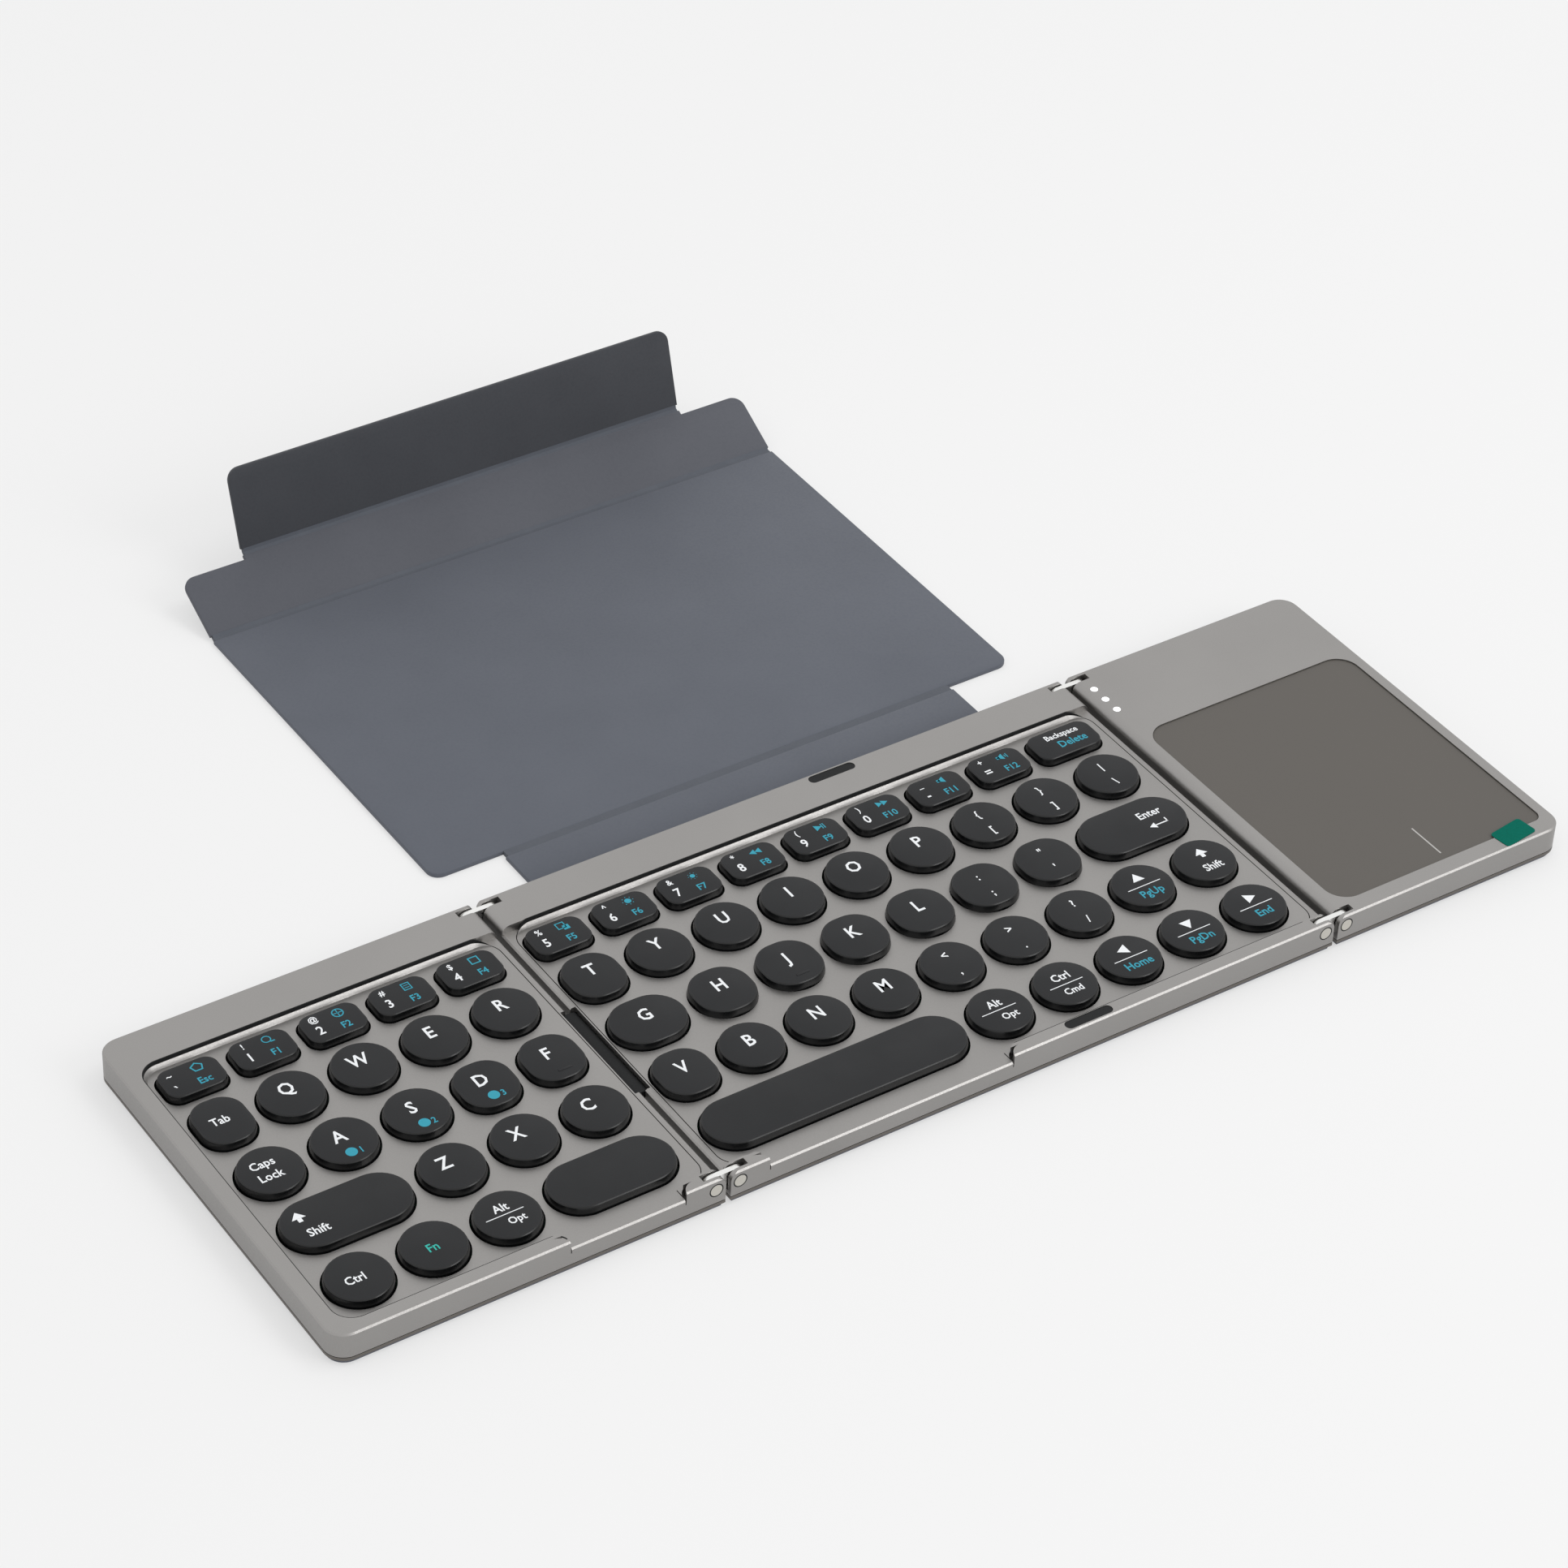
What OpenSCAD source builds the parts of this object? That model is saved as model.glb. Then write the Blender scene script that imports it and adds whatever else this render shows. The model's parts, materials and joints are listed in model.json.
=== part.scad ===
// Folding pocket keyboard: three hinged panels and a wrap-around cover flap.
// X runs along the keyboard, Y runs away from the typist and Z is up.
// The origin is on the table, under the centre of the middle panel.

/* [Keys] */
// Diameter of a round key at its foot
key_d = 14.2; // [13.2:0.1:15.0]
// Space between two neighbouring keys
key_gap = 2.3; // [1.7:0.1:4.0]
// Space between two rows of round keys
row_gap = 3.2; // [2.0:0.1:5.0]
// Depth of the keys in the number row
number_depth = 9.4; // [8.6:0.1:11.0]
// Corner radius of the keys in the number row
number_r = 2.9; // [2.0:0.1:3.5]
// Space between the number row and the row in front of it
number_gap = 2.7; // [1.6:0.1:4.0]
// Width of the tab key
tab_w = 12.0; // [11.0:0.1:14.0]
// Width of the first letter key in two rows of the middle panel
narrow_w = 13.1; // [11.5:0.1:14.0]
// Half the flat stretch at the ends of a key that is narrower than the round ones
narrow_flat = 0.9; // [0.5:0.1:2.0]
// Width of the enter key
enter_w = 26.4; // [22.0:0.1:30.0]
// How far the flat key tops lie under the top of the rim
key_below_rim = 0.15; // [0.05:0.05:0.5]
// Travel of a key
key_travel = 1.2; // [0.8:0.05:1.4]
// Space all round between a key and its hole in the key plate
key_clear = 0.35; // [0.25:0.05:0.6]
// Thickness of a key's top over its switch
key_roof = 1.7; // [1.2:0.1:1.9]
// Wall of a key round the pocket for its switch
key_wall = 1.6; // [1.0:0.1:2.0]
// Slope of a key's sides, from the key plate to the top
key_draft = 0.3; // [0.1:0.05:0.5]
// Small bevel round the top of a key
key_bevel = 0.4; // [0.2:0.05:0.6]
// Space left between a pressed key's top and its switch
switch_gap = 0.15; // [0.1:0.05:0.3]
// Space left between a pressed key's foot and the circuit board
foot_gap = 0.25; // [0.1:0.05:0.4]
// Space between a switch and the wall of its pocket
switch_side = 0.9; // [0.5:0.1:1.2]

/* [Panels] */
// Height of the metal frame over its tray
frame_h = 5.9; // [5.6:0.1:7.2]
// Thickness of the bottom tray
tray_t = 0.9; // [0.6:0.1:1.2]
// Height of the thin groove between a tray and its frame
seam_h = 0.15; // [0.1:0.05:0.3]
// Depth of the thin groove between a tray and its frame
seam_d = 0.8; // [0.4:0.1:1.2]
// Thickness of the cover sheet under the panels and of the flap
sheet_t = 1.2; // [1.0:0.1:1.8]
// How far the cover sheet stays inside the panels' edges
sheet_inset = 0.6; // [0.3:0.1:1.5]
// Width of the small bevel along the frames' outer top edges
edge_bevel = 0.35; // [0.2:0.05:0.8]
// Gap between two unfolded panels
panel_gap = 1.2; // [0.9:0.1:1.4]
// Gap between the two folded wings over the middle panel
meet_gap = 1.4; // [0.8:0.1:3.0]
// Radius of the outer corners of the wings, seen from above
corner_r = 4.5; // [3.5:0.1:6.0]
// Width of the rim at the outer end of a wing
rim_side = 3.7; // [3.0:0.1:5.0]
// Width of the rim along the front
rim_front = 3.4; // [3.3:0.1:4.5]
// Width of the rim along the back
rim_back = 10.4; // [8.0:0.1:13.0]
// How far the key plate lies under the rim
rim_step = 1.9; // [1.7:0.1:2.1]
// Width of the low strip between the key plate and a hinge edge
strip_w = 1.7; // [1.6:0.1:2.4]
// Thickness of the key plate
plate_t = 1.2; // [0.8:0.1:1.3]
// Corner radius of the key plate
plate_r = 4.6; // [3.0:0.1:4.6]
// Width of the fine groove between a key plate and its frame
plate_gap = 0.2; // [0.05:0.05:0.25]
// Width of the ledge that carries the key plate
ledge_w = 1.3; // [0.8:0.1:1.5]
// Space between the keys and the end of the key plate on the hinge sides
field_end = 2.4; // [2.0:0.1:4.0]
// Space between the keys and the outer end of the key plate
field_side = 1.9; // [1.3:0.1:3.0]
// Space between the narrow keys and the end of the key plate
field_tight = 0.55; // [0.5:0.05:1.5]
// Space between the front row and the front of the key plate
field_front = 2.7; // [1.5:0.1:4.0]
// Space between the number row and the back of the key plate
field_back = 3.0; // [1.5:0.1:5.0]
// Clearance between a circuit board and the ledge round it
fit_gap = 0.1; // [0.05:0.05:0.2]
// Length of the lowered front rim on the left wing, from its hinge edge
left_low = 35.6; // [20.0:0.1:60.0]
// Length of the lowered front rim on the middle panel, from its left edge
middle_low = 68.4; // [40.0:0.1:120.0]
// Radius of the steps at the ends of the lowered front rims, seen from above
step_r = 2.8; // [0.8:0.1:3.0]
// Width of the small bevel along the low edges of the panels
low_bevel = 0.35; // [0.1:0.05:0.5]
// Thickness of the circuit boards
board_t = 0.6; // [0.4:0.1:0.8]

/* [Hinges] */
// Distance of a hinge pin from its panel's edge
pin_inset = 2.2; // [2.1:0.1:2.4]
// Depth of the hinge pins under the top of the rim
pin_drop = 2.6; // [2.5:0.05:2.6]
// Radius of a hinge pin
pin_r = 1.15; // [0.9:0.05:1.3]
// Length of a hinge pin
pin_l = 2.9; // [2.8:0.1:3.1]
// How far the pins' ends lie inside the front and back faces
pin_sink = 0.1; // [0.05:0.05:0.2]
// Running clearance of the pins in the links
pin_clear = 0.05; // [0.02:0.01:0.09]
// Clearance of the pins in the frames that hold them
press_gap = 0.02; // [0.01:0.01:0.04]
// Distance of the links from the front and back faces
link_y = 2.0; // [1.9:0.1:2.1]
// Thickness of a link
link_t = 1.2; // [0.9:0.1:1.2]
// Radius of a link's round ends
link_r = 2.1; // [1.9:0.05:2.2]
// Space between a link and its slot
link_clear = 0.3; // [0.2:0.05:0.35]
// Length of the raised hinge block on the lowered front rim
block_l = 9.2; // [8.6:0.1:11.0]
// Length of the rubber cable cover in the left hinge gap
cable_l = 28.0; // [20.0:0.5:36.0]
// Distance of the cable cover's middle from the front face
cable_y = 46.0; // [40.0:0.5:50.0]
// Half the width of the cable cover
cable_half = 1.4; // [1.2:0.05:1.4]
// Height of the cable cover
cable_h = 1.5; // [1.0:0.1:1.8]
// Depth of the cable cover's top under the hinge pins' axes
cable_drop = 0.2; // [0.1:0.05:0.4]
// Space between the cable cover and its notches
cable_clear = 0.4; // [0.3:0.05:0.5]

/* [Touchpad] */
// Distance of the touchpad from the hinge edge of its panel
pad_left = 3.4; // [3.3:0.1:6.0]
// Distance of the touchpad from the outer edge of its panel
pad_right = 2.9; // [2.3:0.1:6.0]
// Distance of the touchpad from the front face
pad_front = 4.4; // [4.2:0.1:12.0]
// Distance of the touchpad from the back face
pad_back = 25.0; // [18.0:0.1:30.0]
// Thickness of the touchpad
pad_t = 1.0; // [0.8:0.1:1.2]
// How far the touchpad lies under the top face
pad_sink = 0.3; // [0.2:0.05:0.5]
// Corner radius of the touchpad at the back and by the hinge
pad_r = 5.0; // [2.0:0.1:6.0]
// Radius of the touchpad's outer front corner
pad_tip_r = 2.0; // [1.8:0.1:5.0]
// Space all round the touchpad
pad_clear = 0.2; // [0.15:0.05:0.4]
// Drop of the touchpad's front edge when it is clicked
pad_click = 0.3; // [0.2:0.05:0.35]
// Space under the touchpad's edge when it is clicked
pad_spare = 0.15; // [0.1:0.05:0.3]
// Width of the ledge round the opening under the touchpad
pad_ledge = 1.4; // [1.0:0.1:2.0]
// Thickness of the ledge round the opening under the touchpad
deck_t = 0.7; // [0.5:0.1:0.8]
// Diameter of an indicator light
light_d = 1.7; // [1.2:0.1:2.2]
// Distance between the indicator lights
light_pitch = 4.25; // [3.0:0.05:6.0]
// Distance of the indicator lights from the hinge edge
light_x = 3.0; // [2.9:0.1:5.0]
// Distance of the rear indicator light from the back face
light_back = 6.8; // [5.5:0.1:8.0]
// Distance of the battery's room from the hinge edge
room_x = 5.4; // [5.0:0.1:8.0]
// Distance of the battery's room from the front face
room_front = 5.4; // [4.0:0.1:8.0]
// Wall of the battery's room on the outer side
room_wall = 2.0; // [1.6:0.1:4.0]
// Length of the battery
battery_l = 54.0; // [40.0:0.5:60.0]
// Width of the battery
battery_w = 46.0; // [30.0:0.5:50.0]
// Thickness of the battery
battery_t = 2.8; // [2.0:0.1:2.9]
// Width of the charging socket
port_w = 8.9; // [8.0:0.1:9.5]
// Height of the charging socket
port_h = 3.2; // [2.8:0.1:3.2]
// Depth of the charging socket
port_l = 7.0; // [6.0:0.1:7.4]
// Wall of the charging socket
port_wall = 0.3; // [0.2:0.05:0.4]
// Height of the charging socket over the tray
port_lift = 0.5; // [0.3:0.1:1.0]
// Distance of the film's pull tab from the outer edge
tab_x = 11.7; // [7.0:0.1:14.0]
// Distance of the film's pull tab from the front face
tab_y = 3.5; // [3.3:0.1:10.0]
// Turn of the film's pull tab
tab_turn = 8; // [-20:1:20]
// Length of the film's pull tab
tab_l = 9.0; // [7.0:0.1:12.0]
// Depth of the film's pull tab
tab_d = 5.4; // [4.0:0.1:7.0]
// Thickness of the film's pull tab
tab_t = 0.12; // [0.1:0.01:0.2]

/* [Flap] */
// Clearance between the closed flap and the folded panels
wrap_gap = 0.3; // [0.3:0.05:1.0]
// Gap between two pieces of the flap at a crease
crease_gap = 0.3; // [0.3:0.05:0.5]
// How far the flap's wide panel stays inside the sides of the middle panel
flap_side = 0.3; // [0.2:0.1:4.0]
// Width of the neck that joins the flap to the middle panel
neck_w = 117.0; // [100.0:0.5:130.0]
// Width of the tongue
tongue_w = 118.0; // [100.0:0.5:130.0]
// Length of the tongue
tongue_l = 20.2; // [14.0:0.1:30.0]
// How far the spine's outer ends stop short of the tongue's crease
shoulder = 2.0; // [1.6:0.1:6.0]
// Radius of the flap's outer corners
flap_r = 3.0; // [2.0:0.1:5.0]
// Angle of the spine over the table while the flap lies open
spine_angle = 28; // [0:1:45]
// Angle of the tongue to the spine while the flap lies open
tongue_angle = 45; // [0:1:60]
// Length of a magnet in the tongue
magnet_l = 16.0; // [10.0:0.5:20.0]
// Width of a magnet in the tongue
magnet_w = 6.0; // [4.0:0.5:8.0]
// Thickness of a magnet in the tongue
magnet_t = 0.7; // [0.5:0.1:0.8]
// Distance between the magnets in the tongue
magnet_pitch = 40.0; // [25.0:0.5:45.0]
// Space all round a magnet in its pocket
magnet_clear = 0.05; // [0.02:0.01:0.1]

/* [Rubber pads] */
// Length of a rubber pad in the rim
bumper_l = 11.8; // [8.0:0.1:14.0]
// Width of a rubber pad in the rim
bumper_w = 2.4; // [1.2:0.1:2.4]
// Depth of a rubber pad in the rim
bumper_t = 0.9; // [0.6:0.1:1.2]
// How far a rubber pad lies under the rim
bumper_sink = 0.1; // [0.05:0.05:0.2]
// Distance of the rubber pads from the front and back faces
bumper_y = 1.9; // [1.8:0.1:2.0]
// Clearance of the rubber pads in their slots
bumper_clear = 0.05; // [0.02:0.01:0.1]

/* [Hidden] */
$fn = 64;
metal = "#99958f";
metal_dark = "#7d7973";
sheet_grey = "#5d6069";
black = "#2a2b2d";
steel = "#c9cbcd";

// Widths that follow from the keys
key_pitch = key_d + key_gap;
row_pitch = key_d + row_gap;
left_field = tab_w + 4 * key_pitch;
middle_field = narrow_w + 8 * key_pitch;
number_w = (left_field - 4 * key_gap) / 5;
pair_w = (left_field - 3 * key_pitch - key_gap) / 2;
wide_w = left_field - 3 * key_pitch;
space_w = middle_field - 5 * key_pitch;
g_w = middle_field - 6 * key_pitch - enter_w - key_gap;
back_w = middle_field - 8 * (number_w + key_gap);
left_w = rim_side + field_side + left_field + field_end + strip_w;
middle_w = strip_w + field_tight + middle_field + field_end + strip_w;
right_w = middle_w - left_w - meet_gap;
depth = rim_front + field_front + key_d + 3 * row_pitch + number_gap + number_depth + field_back + rim_back;

// Heights from the table
tray_z = sheet_t;
frame_z = tray_z + tray_t;
top_z = frame_z + frame_h;
plate_z = top_z - rim_step;
ledge_z = plate_z - plate_t;
board_z = frame_z;
key_top = top_z - key_below_rim;
board_top = board_z + board_t;
switch_h = key_top - key_roof - key_travel - switch_gap - board_top;
key_foot = board_top + key_travel + foot_gap;
pin_z = top_z - pin_drop;

// Places along X and Y
hinge_x = middle_w / 2 + panel_gap / 2;
wing_x = middle_w / 2 + panel_gap;
front = -depth / 2;
back = depth / 2;
pin_half = panel_gap / 2 + pin_inset;
hinge_round = min(pin_drop, pin_inset) - 0.2;
slot_r = link_r + link_clear;
plate_front = front + rim_front;
plate_back = back - rim_back;
plate_depth = plate_back - plate_front;
meet_x = left_w - middle_w / 2 + meet_gap / 2;
row_1_y = plate_front + field_front + key_d / 2;
number_y = row_1_y + 3 * row_pitch + key_d / 2 + number_gap + number_depth / 2;
rows_y = [row_1_y, row_1_y + row_pitch, row_1_y + 2 * row_pitch, row_1_y + 3 * row_pitch, number_y];
left_start = -wing_x - left_w + rim_side + field_side;
middle_start = -middle_w / 2 + strip_w + field_tight;

// The folded stack and the flap that wraps it
stack_z = 2 * pin_z + 2 * pin_half;
crease_z = sheet_t / 2;
neck_y = back + wrap_gap + sheet_t / 2;
neck_l = stack_z + wrap_gap + sheet_t / 2 - crease_z;
panel_y = neck_y + neck_l;
panel_l = depth + 2 * wrap_gap + sheet_t;
spine_y = panel_y + panel_l;
spine_l = stack_z + 2 * wrap_gap + sheet_t;
sheet_start = sheet_t / 2 + crease_gap;
flap_w = middle_w - 2 * flap_side;
cable_top = pin_z - cable_drop;
pad_z = top_z - pad_sink - pad_t;
pad_floor = pad_z - pad_click - pad_spare;
deck_z = pad_floor - deck_t;
pad_back_y = back - pad_back;
pad_front_y = front + pad_front;
pad_mid_x = (right_w + pad_left - pad_right) / 2;
pad_mid_y = (pad_front_y + pad_back_y) / 2;

// Rows from the front one to the number row: the piece each key belongs to, and its width
left_rows = [
  [["ctrl_key", key_d], ["fn_key", key_d], ["alt_key", key_d], ["left_space_key", wide_w]],
  [["left_shift_key", wide_w], for (i = [1:3]) ["zxc_keys", key_d]],
  [["caps_key", key_d], for (i = [1:2]) ["asdf_keys", key_d], for (i = [1:2]) ["asdf_keys", pair_w]],
  [["tab_key", tab_w], for (i = [1:4]) ["qwer_keys", key_d]],
  [["escape_key", number_w], for (i = [1:4]) ["digit_keys_1_4", number_w]]
];
middle_rows = [
  [["space_key", space_w], ["option_key", key_d], ["command_key", key_d],
   ["left_arrow_key", key_d], ["down_arrow_key", key_d], ["right_arrow_key", key_d]],
  [["vbnm_keys", narrow_w], for (i = [1:6]) ["vbnm_keys", key_d],
   ["up_arrow_key", key_d], ["right_shift_key", key_d]],
  [["ghjkl_keys", g_w], for (i = [1:6]) ["ghjkl_keys", key_d], ["enter_key", enter_w]],
  [["tyuiop_keys", narrow_w], for (i = [1:5]) ["tyuiop_keys", key_d],
   for (i = [1:3]) ["bracket_keys", key_d]],
  [for (i = [1:6]) ["digit_keys_5_0", number_w], for (i = [1:2]) ["minus_equals_keys", number_w],
   ["backspace_key", back_w]]
];

// Where key i of a row starts, counted from the left end of the row
function key_start(row, i) = i == 0 ? 0 : key_start(row, i - 1) + row[i - 1][1] + key_gap;

// Corner radius of a key: round keys and long keys end in half circles
function key_corner(w, row) = row == 4 ? number_r : w < key_d ? w / 2 - narrow_flat : key_d / 2;

// Middle of key i of a row, counted from the left end of the row
function key_x(row, i) = key_start(row, i) + row[i][1] / 2;

function key_depth(row) = row == 4 ? number_depth : key_d;

// A rectangle with round corners, centred
module round_rect(w, d, r) {
  if (w - 2 * r > 0.01) square([w - 2 * r, d], center = true);
  if (d - 2 * r > 0.01) square([w, d - 2 * r], center = true);
  for (sx = w - 2 * r > 0.01 ? [-1, 1] : [0])
    for (sy = d - 2 * r > 0.01 ? [-1, 1] : [0])
      translate([sx * (w / 2 - r), sy * (d / 2 - r)]) circle(r);
}

// A wing seen from above: hinge edge on the Y axis, outer corners round
module wing_outline(w, inset) {
  r = corner_r - inset;
  translate([inset, front + inset]) square([w - 2 * inset - r, depth - 2 * inset]);
  translate([inset, front + inset + r]) square([w - 2 * inset, depth - 2 * inset - 2 * r]);
  for (sy = [-1, 1]) translate([w - inset - r, sy * (depth / 2 - inset - r)]) circle(r);
}

// The middle panel seen from above
module middle_outline(inset) {
  square([middle_w - 2 * inset, depth - 2 * inset], center = true);
}

// A key plate or the space under it, from x0 to x1
module plate_outline(x0, x1, inset) {
  translate([(x0 + x1) / 2, (plate_front + plate_back) / 2])
    round_rect(x1 - x0 - 2 * inset, plate_depth - 2 * inset, max(plate_r - inset, 0.5));
}

// One key with slightly drafted sides, a small bevel and a pocket for its switch
module key_body(w, d, r) {
  bevel_z = key_top - key_bevel;
  module section(half) {
    neck = half - key_draft;
    rim = neck - key_bevel;
    polygon([[-half, key_foot], [half, key_foot], [half, plate_z], [neck, bevel_z],
             [rim, key_top], [-rim, key_top], [-neck, bevel_z], [-half, plate_z]]);
  }
  difference() {
    union() {
      if (w - 2 * r > 0.01) rotate([90, 0, 90]) linear_extrude(w - 2 * r, center = true) section(d / 2);
      if (d - 2 * r > 0.01) rotate([90, 0, 0]) linear_extrude(d - 2 * r, center = true) section(w / 2);
      for (sx = w - 2 * r > 0.01 ? [-1, 1] : [0])
        for (sy = d - 2 * r > 0.01 ? [-1, 1] : [0])
          translate([sx * (w / 2 - r), sy * (d / 2 - r), 0])
            rotate_extrude() intersection() {
              section(r);
              square([2 * r, 2 * key_top]);
            }
    }
    translate([0, 0, key_foot - 1])
      cylinder(h = key_top - key_roof - key_foot + 1, r = min(w, d) / 2 - key_wall);
  }
}

// All keys of one piece
module keys(piece) {
  color(black) {
    key_row(piece, left_rows, left_start);
    key_row(piece, middle_rows, middle_start);
  }
}

module key_row(piece, rows, start) {
  for (row = [0:4])
    for (i = [0:len(rows[row]) - 1])
      if (rows[row][i][0] == piece)
        translate([start + key_x(rows[row], i), rows_y[row], 0])
          key_body(rows[row][i][1], key_depth(row), key_corner(rows[row][i][1], row));
}

// Outlines of the holes of one key field
module key_holes(rows, start) {
  for (row = [0:4])
    for (i = [0:len(rows[row]) - 1])
      translate([start + key_x(rows[row], i), rows_y[row]])
        round_rect(rows[row][i][1] + 2 * key_clear, key_depth(row) + 2 * key_clear,
                   key_corner(rows[row][i][1], row) + key_clear);
}

// One low switch with sloping sides
module switch(r) {
  cylinder(h = switch_h, r1 = r, r2 = r - 0.7);
}

// Low switches that stand on a board inside the keys' pockets
module switches(rows, start) {
  for (row = [0:4])
    for (i = [0:len(rows[row]) - 1])
      translate([start + key_x(rows[row], i), rows_y[row], board_top])
        switch(min(rows[row][i][1], key_depth(row)) / 2 - key_wall - switch_side);
}

// Cuts at the hinge edge of a panel whose edge is the plane x = 0 and whose body lies at positive x
module hinge_cuts() {
  slot_w = link_t + 2 * link_clear;
  for (sy = [-1, 1]) {
    translate([pin_inset, sy * (depth / 2 - link_y), pin_z]) {
      rotate([90, 0, 0]) cylinder(h = slot_w, r = slot_r, center = true);
      translate([-pin_inset - 1, -slot_w / 2, -slot_r]) cube([pin_inset + 1, slot_w, 2 * slot_r + top_z]);
      translate([-slot_r, -slot_w / 2, 0]) cube([2 * slot_r, slot_w, top_z]);
    }
    pin_place(sy) cylinder(h = pin_l, r = pin_r + press_gap);
    pin_place(sy) translate([0, 0, -pin_sink - 1]) cylinder(h = pin_sink + 2, r = pin_r + press_gap);
  }
  translate([0, 0, top_z - hinge_round]) rotate([90, 0, 0])
    linear_extrude(depth + 2, center = true) difference() {
      translate([-1, 0]) square(hinge_round + 1);
      translate([hinge_round, 0]) circle(hinge_round);
    }
}

// A pin's outer end, with the pin along positive z
module pin_place(sy) {
  translate([pin_inset, sy * (depth / 2 - pin_sink), pin_z]) rotate([sy * 90, 0, 0]) children();
}

// Two pins, front and back, of the panel edge at x = 0
module pin_pair() {
  for (sy = [-1, 1]) pin_place(sy) cylinder(h = pin_l, r = pin_r);
}

// The notch for the cable cover in the panel edge at x = 0
module cable_notch() {
  reach = cable_half + cable_clear - panel_gap / 2;
  translate([-1, front + cable_y - cable_l / 2 - cable_clear, cable_top - cable_h - cable_clear])
    cube([reach + 1, cable_l + 2 * cable_clear, top_z]);
}

// Lowers the low strip between the key plate and the hinge edge at x = 0, and bevels its edge
module low_strip() {
  translate([-1, plate_front, plate_z]) cube([strip_w + plate_r + 1, plate_depth, top_z]);
  translate([0, (plate_front + plate_back) / 2, plate_z]) rotate([90, 0, 0])
    linear_extrude(plate_depth, center = true) corner_cut(low_bevel);
}

// A square turned by 45 degrees that cuts a bevel off a corner at the origin
module corner_cut(w) {
  polygon([[-w, 0], [0, -w], [w, 0], [0, w]]);
}

// The lowered stretch of the front rim seen from above, from x0 to x1: its ends widen in round corners
// towards the key plate, and inset draws it in from the raised rim on both sides
module low_outline(x0, x1, inset) {
  translate([x0 + inset, front]) square([x1 - x0 - 2 * inset, rim_front + plate_r / 2]);
  for (side = [[x0, -1], [x1, 1]]) difference() {
    translate([side[0] + side[1] * step_r / 2, plate_front - step_r / 2 + inset / 2])
      square([step_r, step_r + inset], center = true);
    translate([side[0] + side[1] * step_r, plate_front - step_r]) circle(step_r + inset);
  }
}

// Lowers the front rim from x0 to x1 for the key plate, which runs out to the front face there
module low_rim(x0, x1) {
  translate([0, -1, ledge_z]) linear_extrude(top_z) low_outline(x0, x1, 0);
  translate([0, 0, ledge_z]) linear_extrude(top_z) low_outline(x0, x1, 0);
}

// A key plate with its holes, from x0 to x1, and its lip over the lowered front rim, from lip0 to lip1
module key_plate(x0, x1, lip0, lip1, rows, start) {
  color(metal) difference() {
    translate([0, 0, ledge_z]) linear_extrude(plate_t) difference() {
      union() {
        plate_outline(x0, x1, 0);
        low_outline(lip0, lip1, plate_gap);
      }
      key_holes(rows, start);
    }
    translate([(x0 + x1) / 2, front, plate_z]) rotate([90, 0, 90])
      linear_extrude(x1 - x0, center = true) corner_cut(low_bevel);
  }
}

// Recess for the key plate and the space under it
module plate_recess(x0, x1) {
  translate([0, 0, ledge_z]) linear_extrude(top_z) plate_outline(x0, x1, -plate_gap);
  translate([0, 0, frame_z - 1]) linear_extrude(top_z) plate_outline(x0, x1, ledge_w);
}

// Room in a frame's ledge for the feet of the keys at its end
module foot_room(rows, start) {
  translate([0, 0, frame_z - 1]) linear_extrude(plate_z - frame_z) key_holes(rows, start);
}

// Cross section of a panel from y0 to y1 with a small bevel along both top edges
module bevelled(y0, y1) {
  polygon([[y0, frame_z], [y1, frame_z], [y1, top_z - edge_bevel], [y1 - edge_bevel, top_z],
           [y0 + edge_bevel, top_z], [y0, top_z - edge_bevel]]);
}

// The solid block of a wing's frame: hinge edge at x = 0, outer corners round, bevelled top edges
module wing_block(w) {
  rotate([90, 0, 90]) linear_extrude(w - corner_r) bevelled(front, back);
  rotate([90, 0, 0]) linear_extrude(depth - 2 * corner_r, center = true) intersection() {
    bevelled(-w, w);
    square([w, top_z]);
  }
  for (sy = [-1, 1]) translate([w - corner_r, sy * (depth / 2 - corner_r), 0])
    rotate_extrude() intersection() {
      bevelled(-corner_r, corner_r);
      square([corner_r, top_z]);
    }
}

// The tray under a wing, with a thin groove below the frame
module wing_tray(w) {
  translate([0, 0, tray_z]) linear_extrude(tray_t - seam_h) wing_outline(w, 0);
  translate([0, 0, tray_z]) linear_extrude(tray_t) wing_outline(w, seam_d);
}

module middle_frame() {
  x1 = middle_w / 2;
  color(metal) difference() {
    rotate([90, 0, 90]) linear_extrude(middle_w, center = true) bevelled(front, back);
    plate_recess(-x1 + strip_w, x1 - strip_w);
    foot_room(middle_rows, middle_start);
    low_rim(-x1 + block_l, -x1 + middle_low);
    translate([-x1, 0, 0]) {
      low_strip();
      hinge_cuts();
      cable_notch();
    }
    translate([x1, 0, 0]) mirror([1, 0, 0]) {
      low_strip();
      hinge_cuts();
    }
    rim_slots() linear_extrude(top_z) round_rect(bumper_l, bumper_w, bumper_w / 2);
  }
}

module middle_tray() {
  color(metal_dark) translate([0, 0, tray_z]) {
    linear_extrude(tray_t - seam_h) middle_outline(0);
    linear_extrude(tray_t) middle_outline(seam_d);
  }
}

module middle_plate() {
  x1 = middle_w / 2 - strip_w;
  edge = -middle_w / 2;
  key_plate(-x1, x1, edge + block_l, edge + middle_low, middle_rows, middle_start);
}

module middle_board() {
  x1 = middle_w / 2 - strip_w;
  color("darkgreen") union() {
    translate([0, 0, board_z]) linear_extrude(board_t) plate_outline(-x1, x1, ledge_w + fit_gap);
    switches(middle_rows, middle_start);
  }
}

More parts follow.
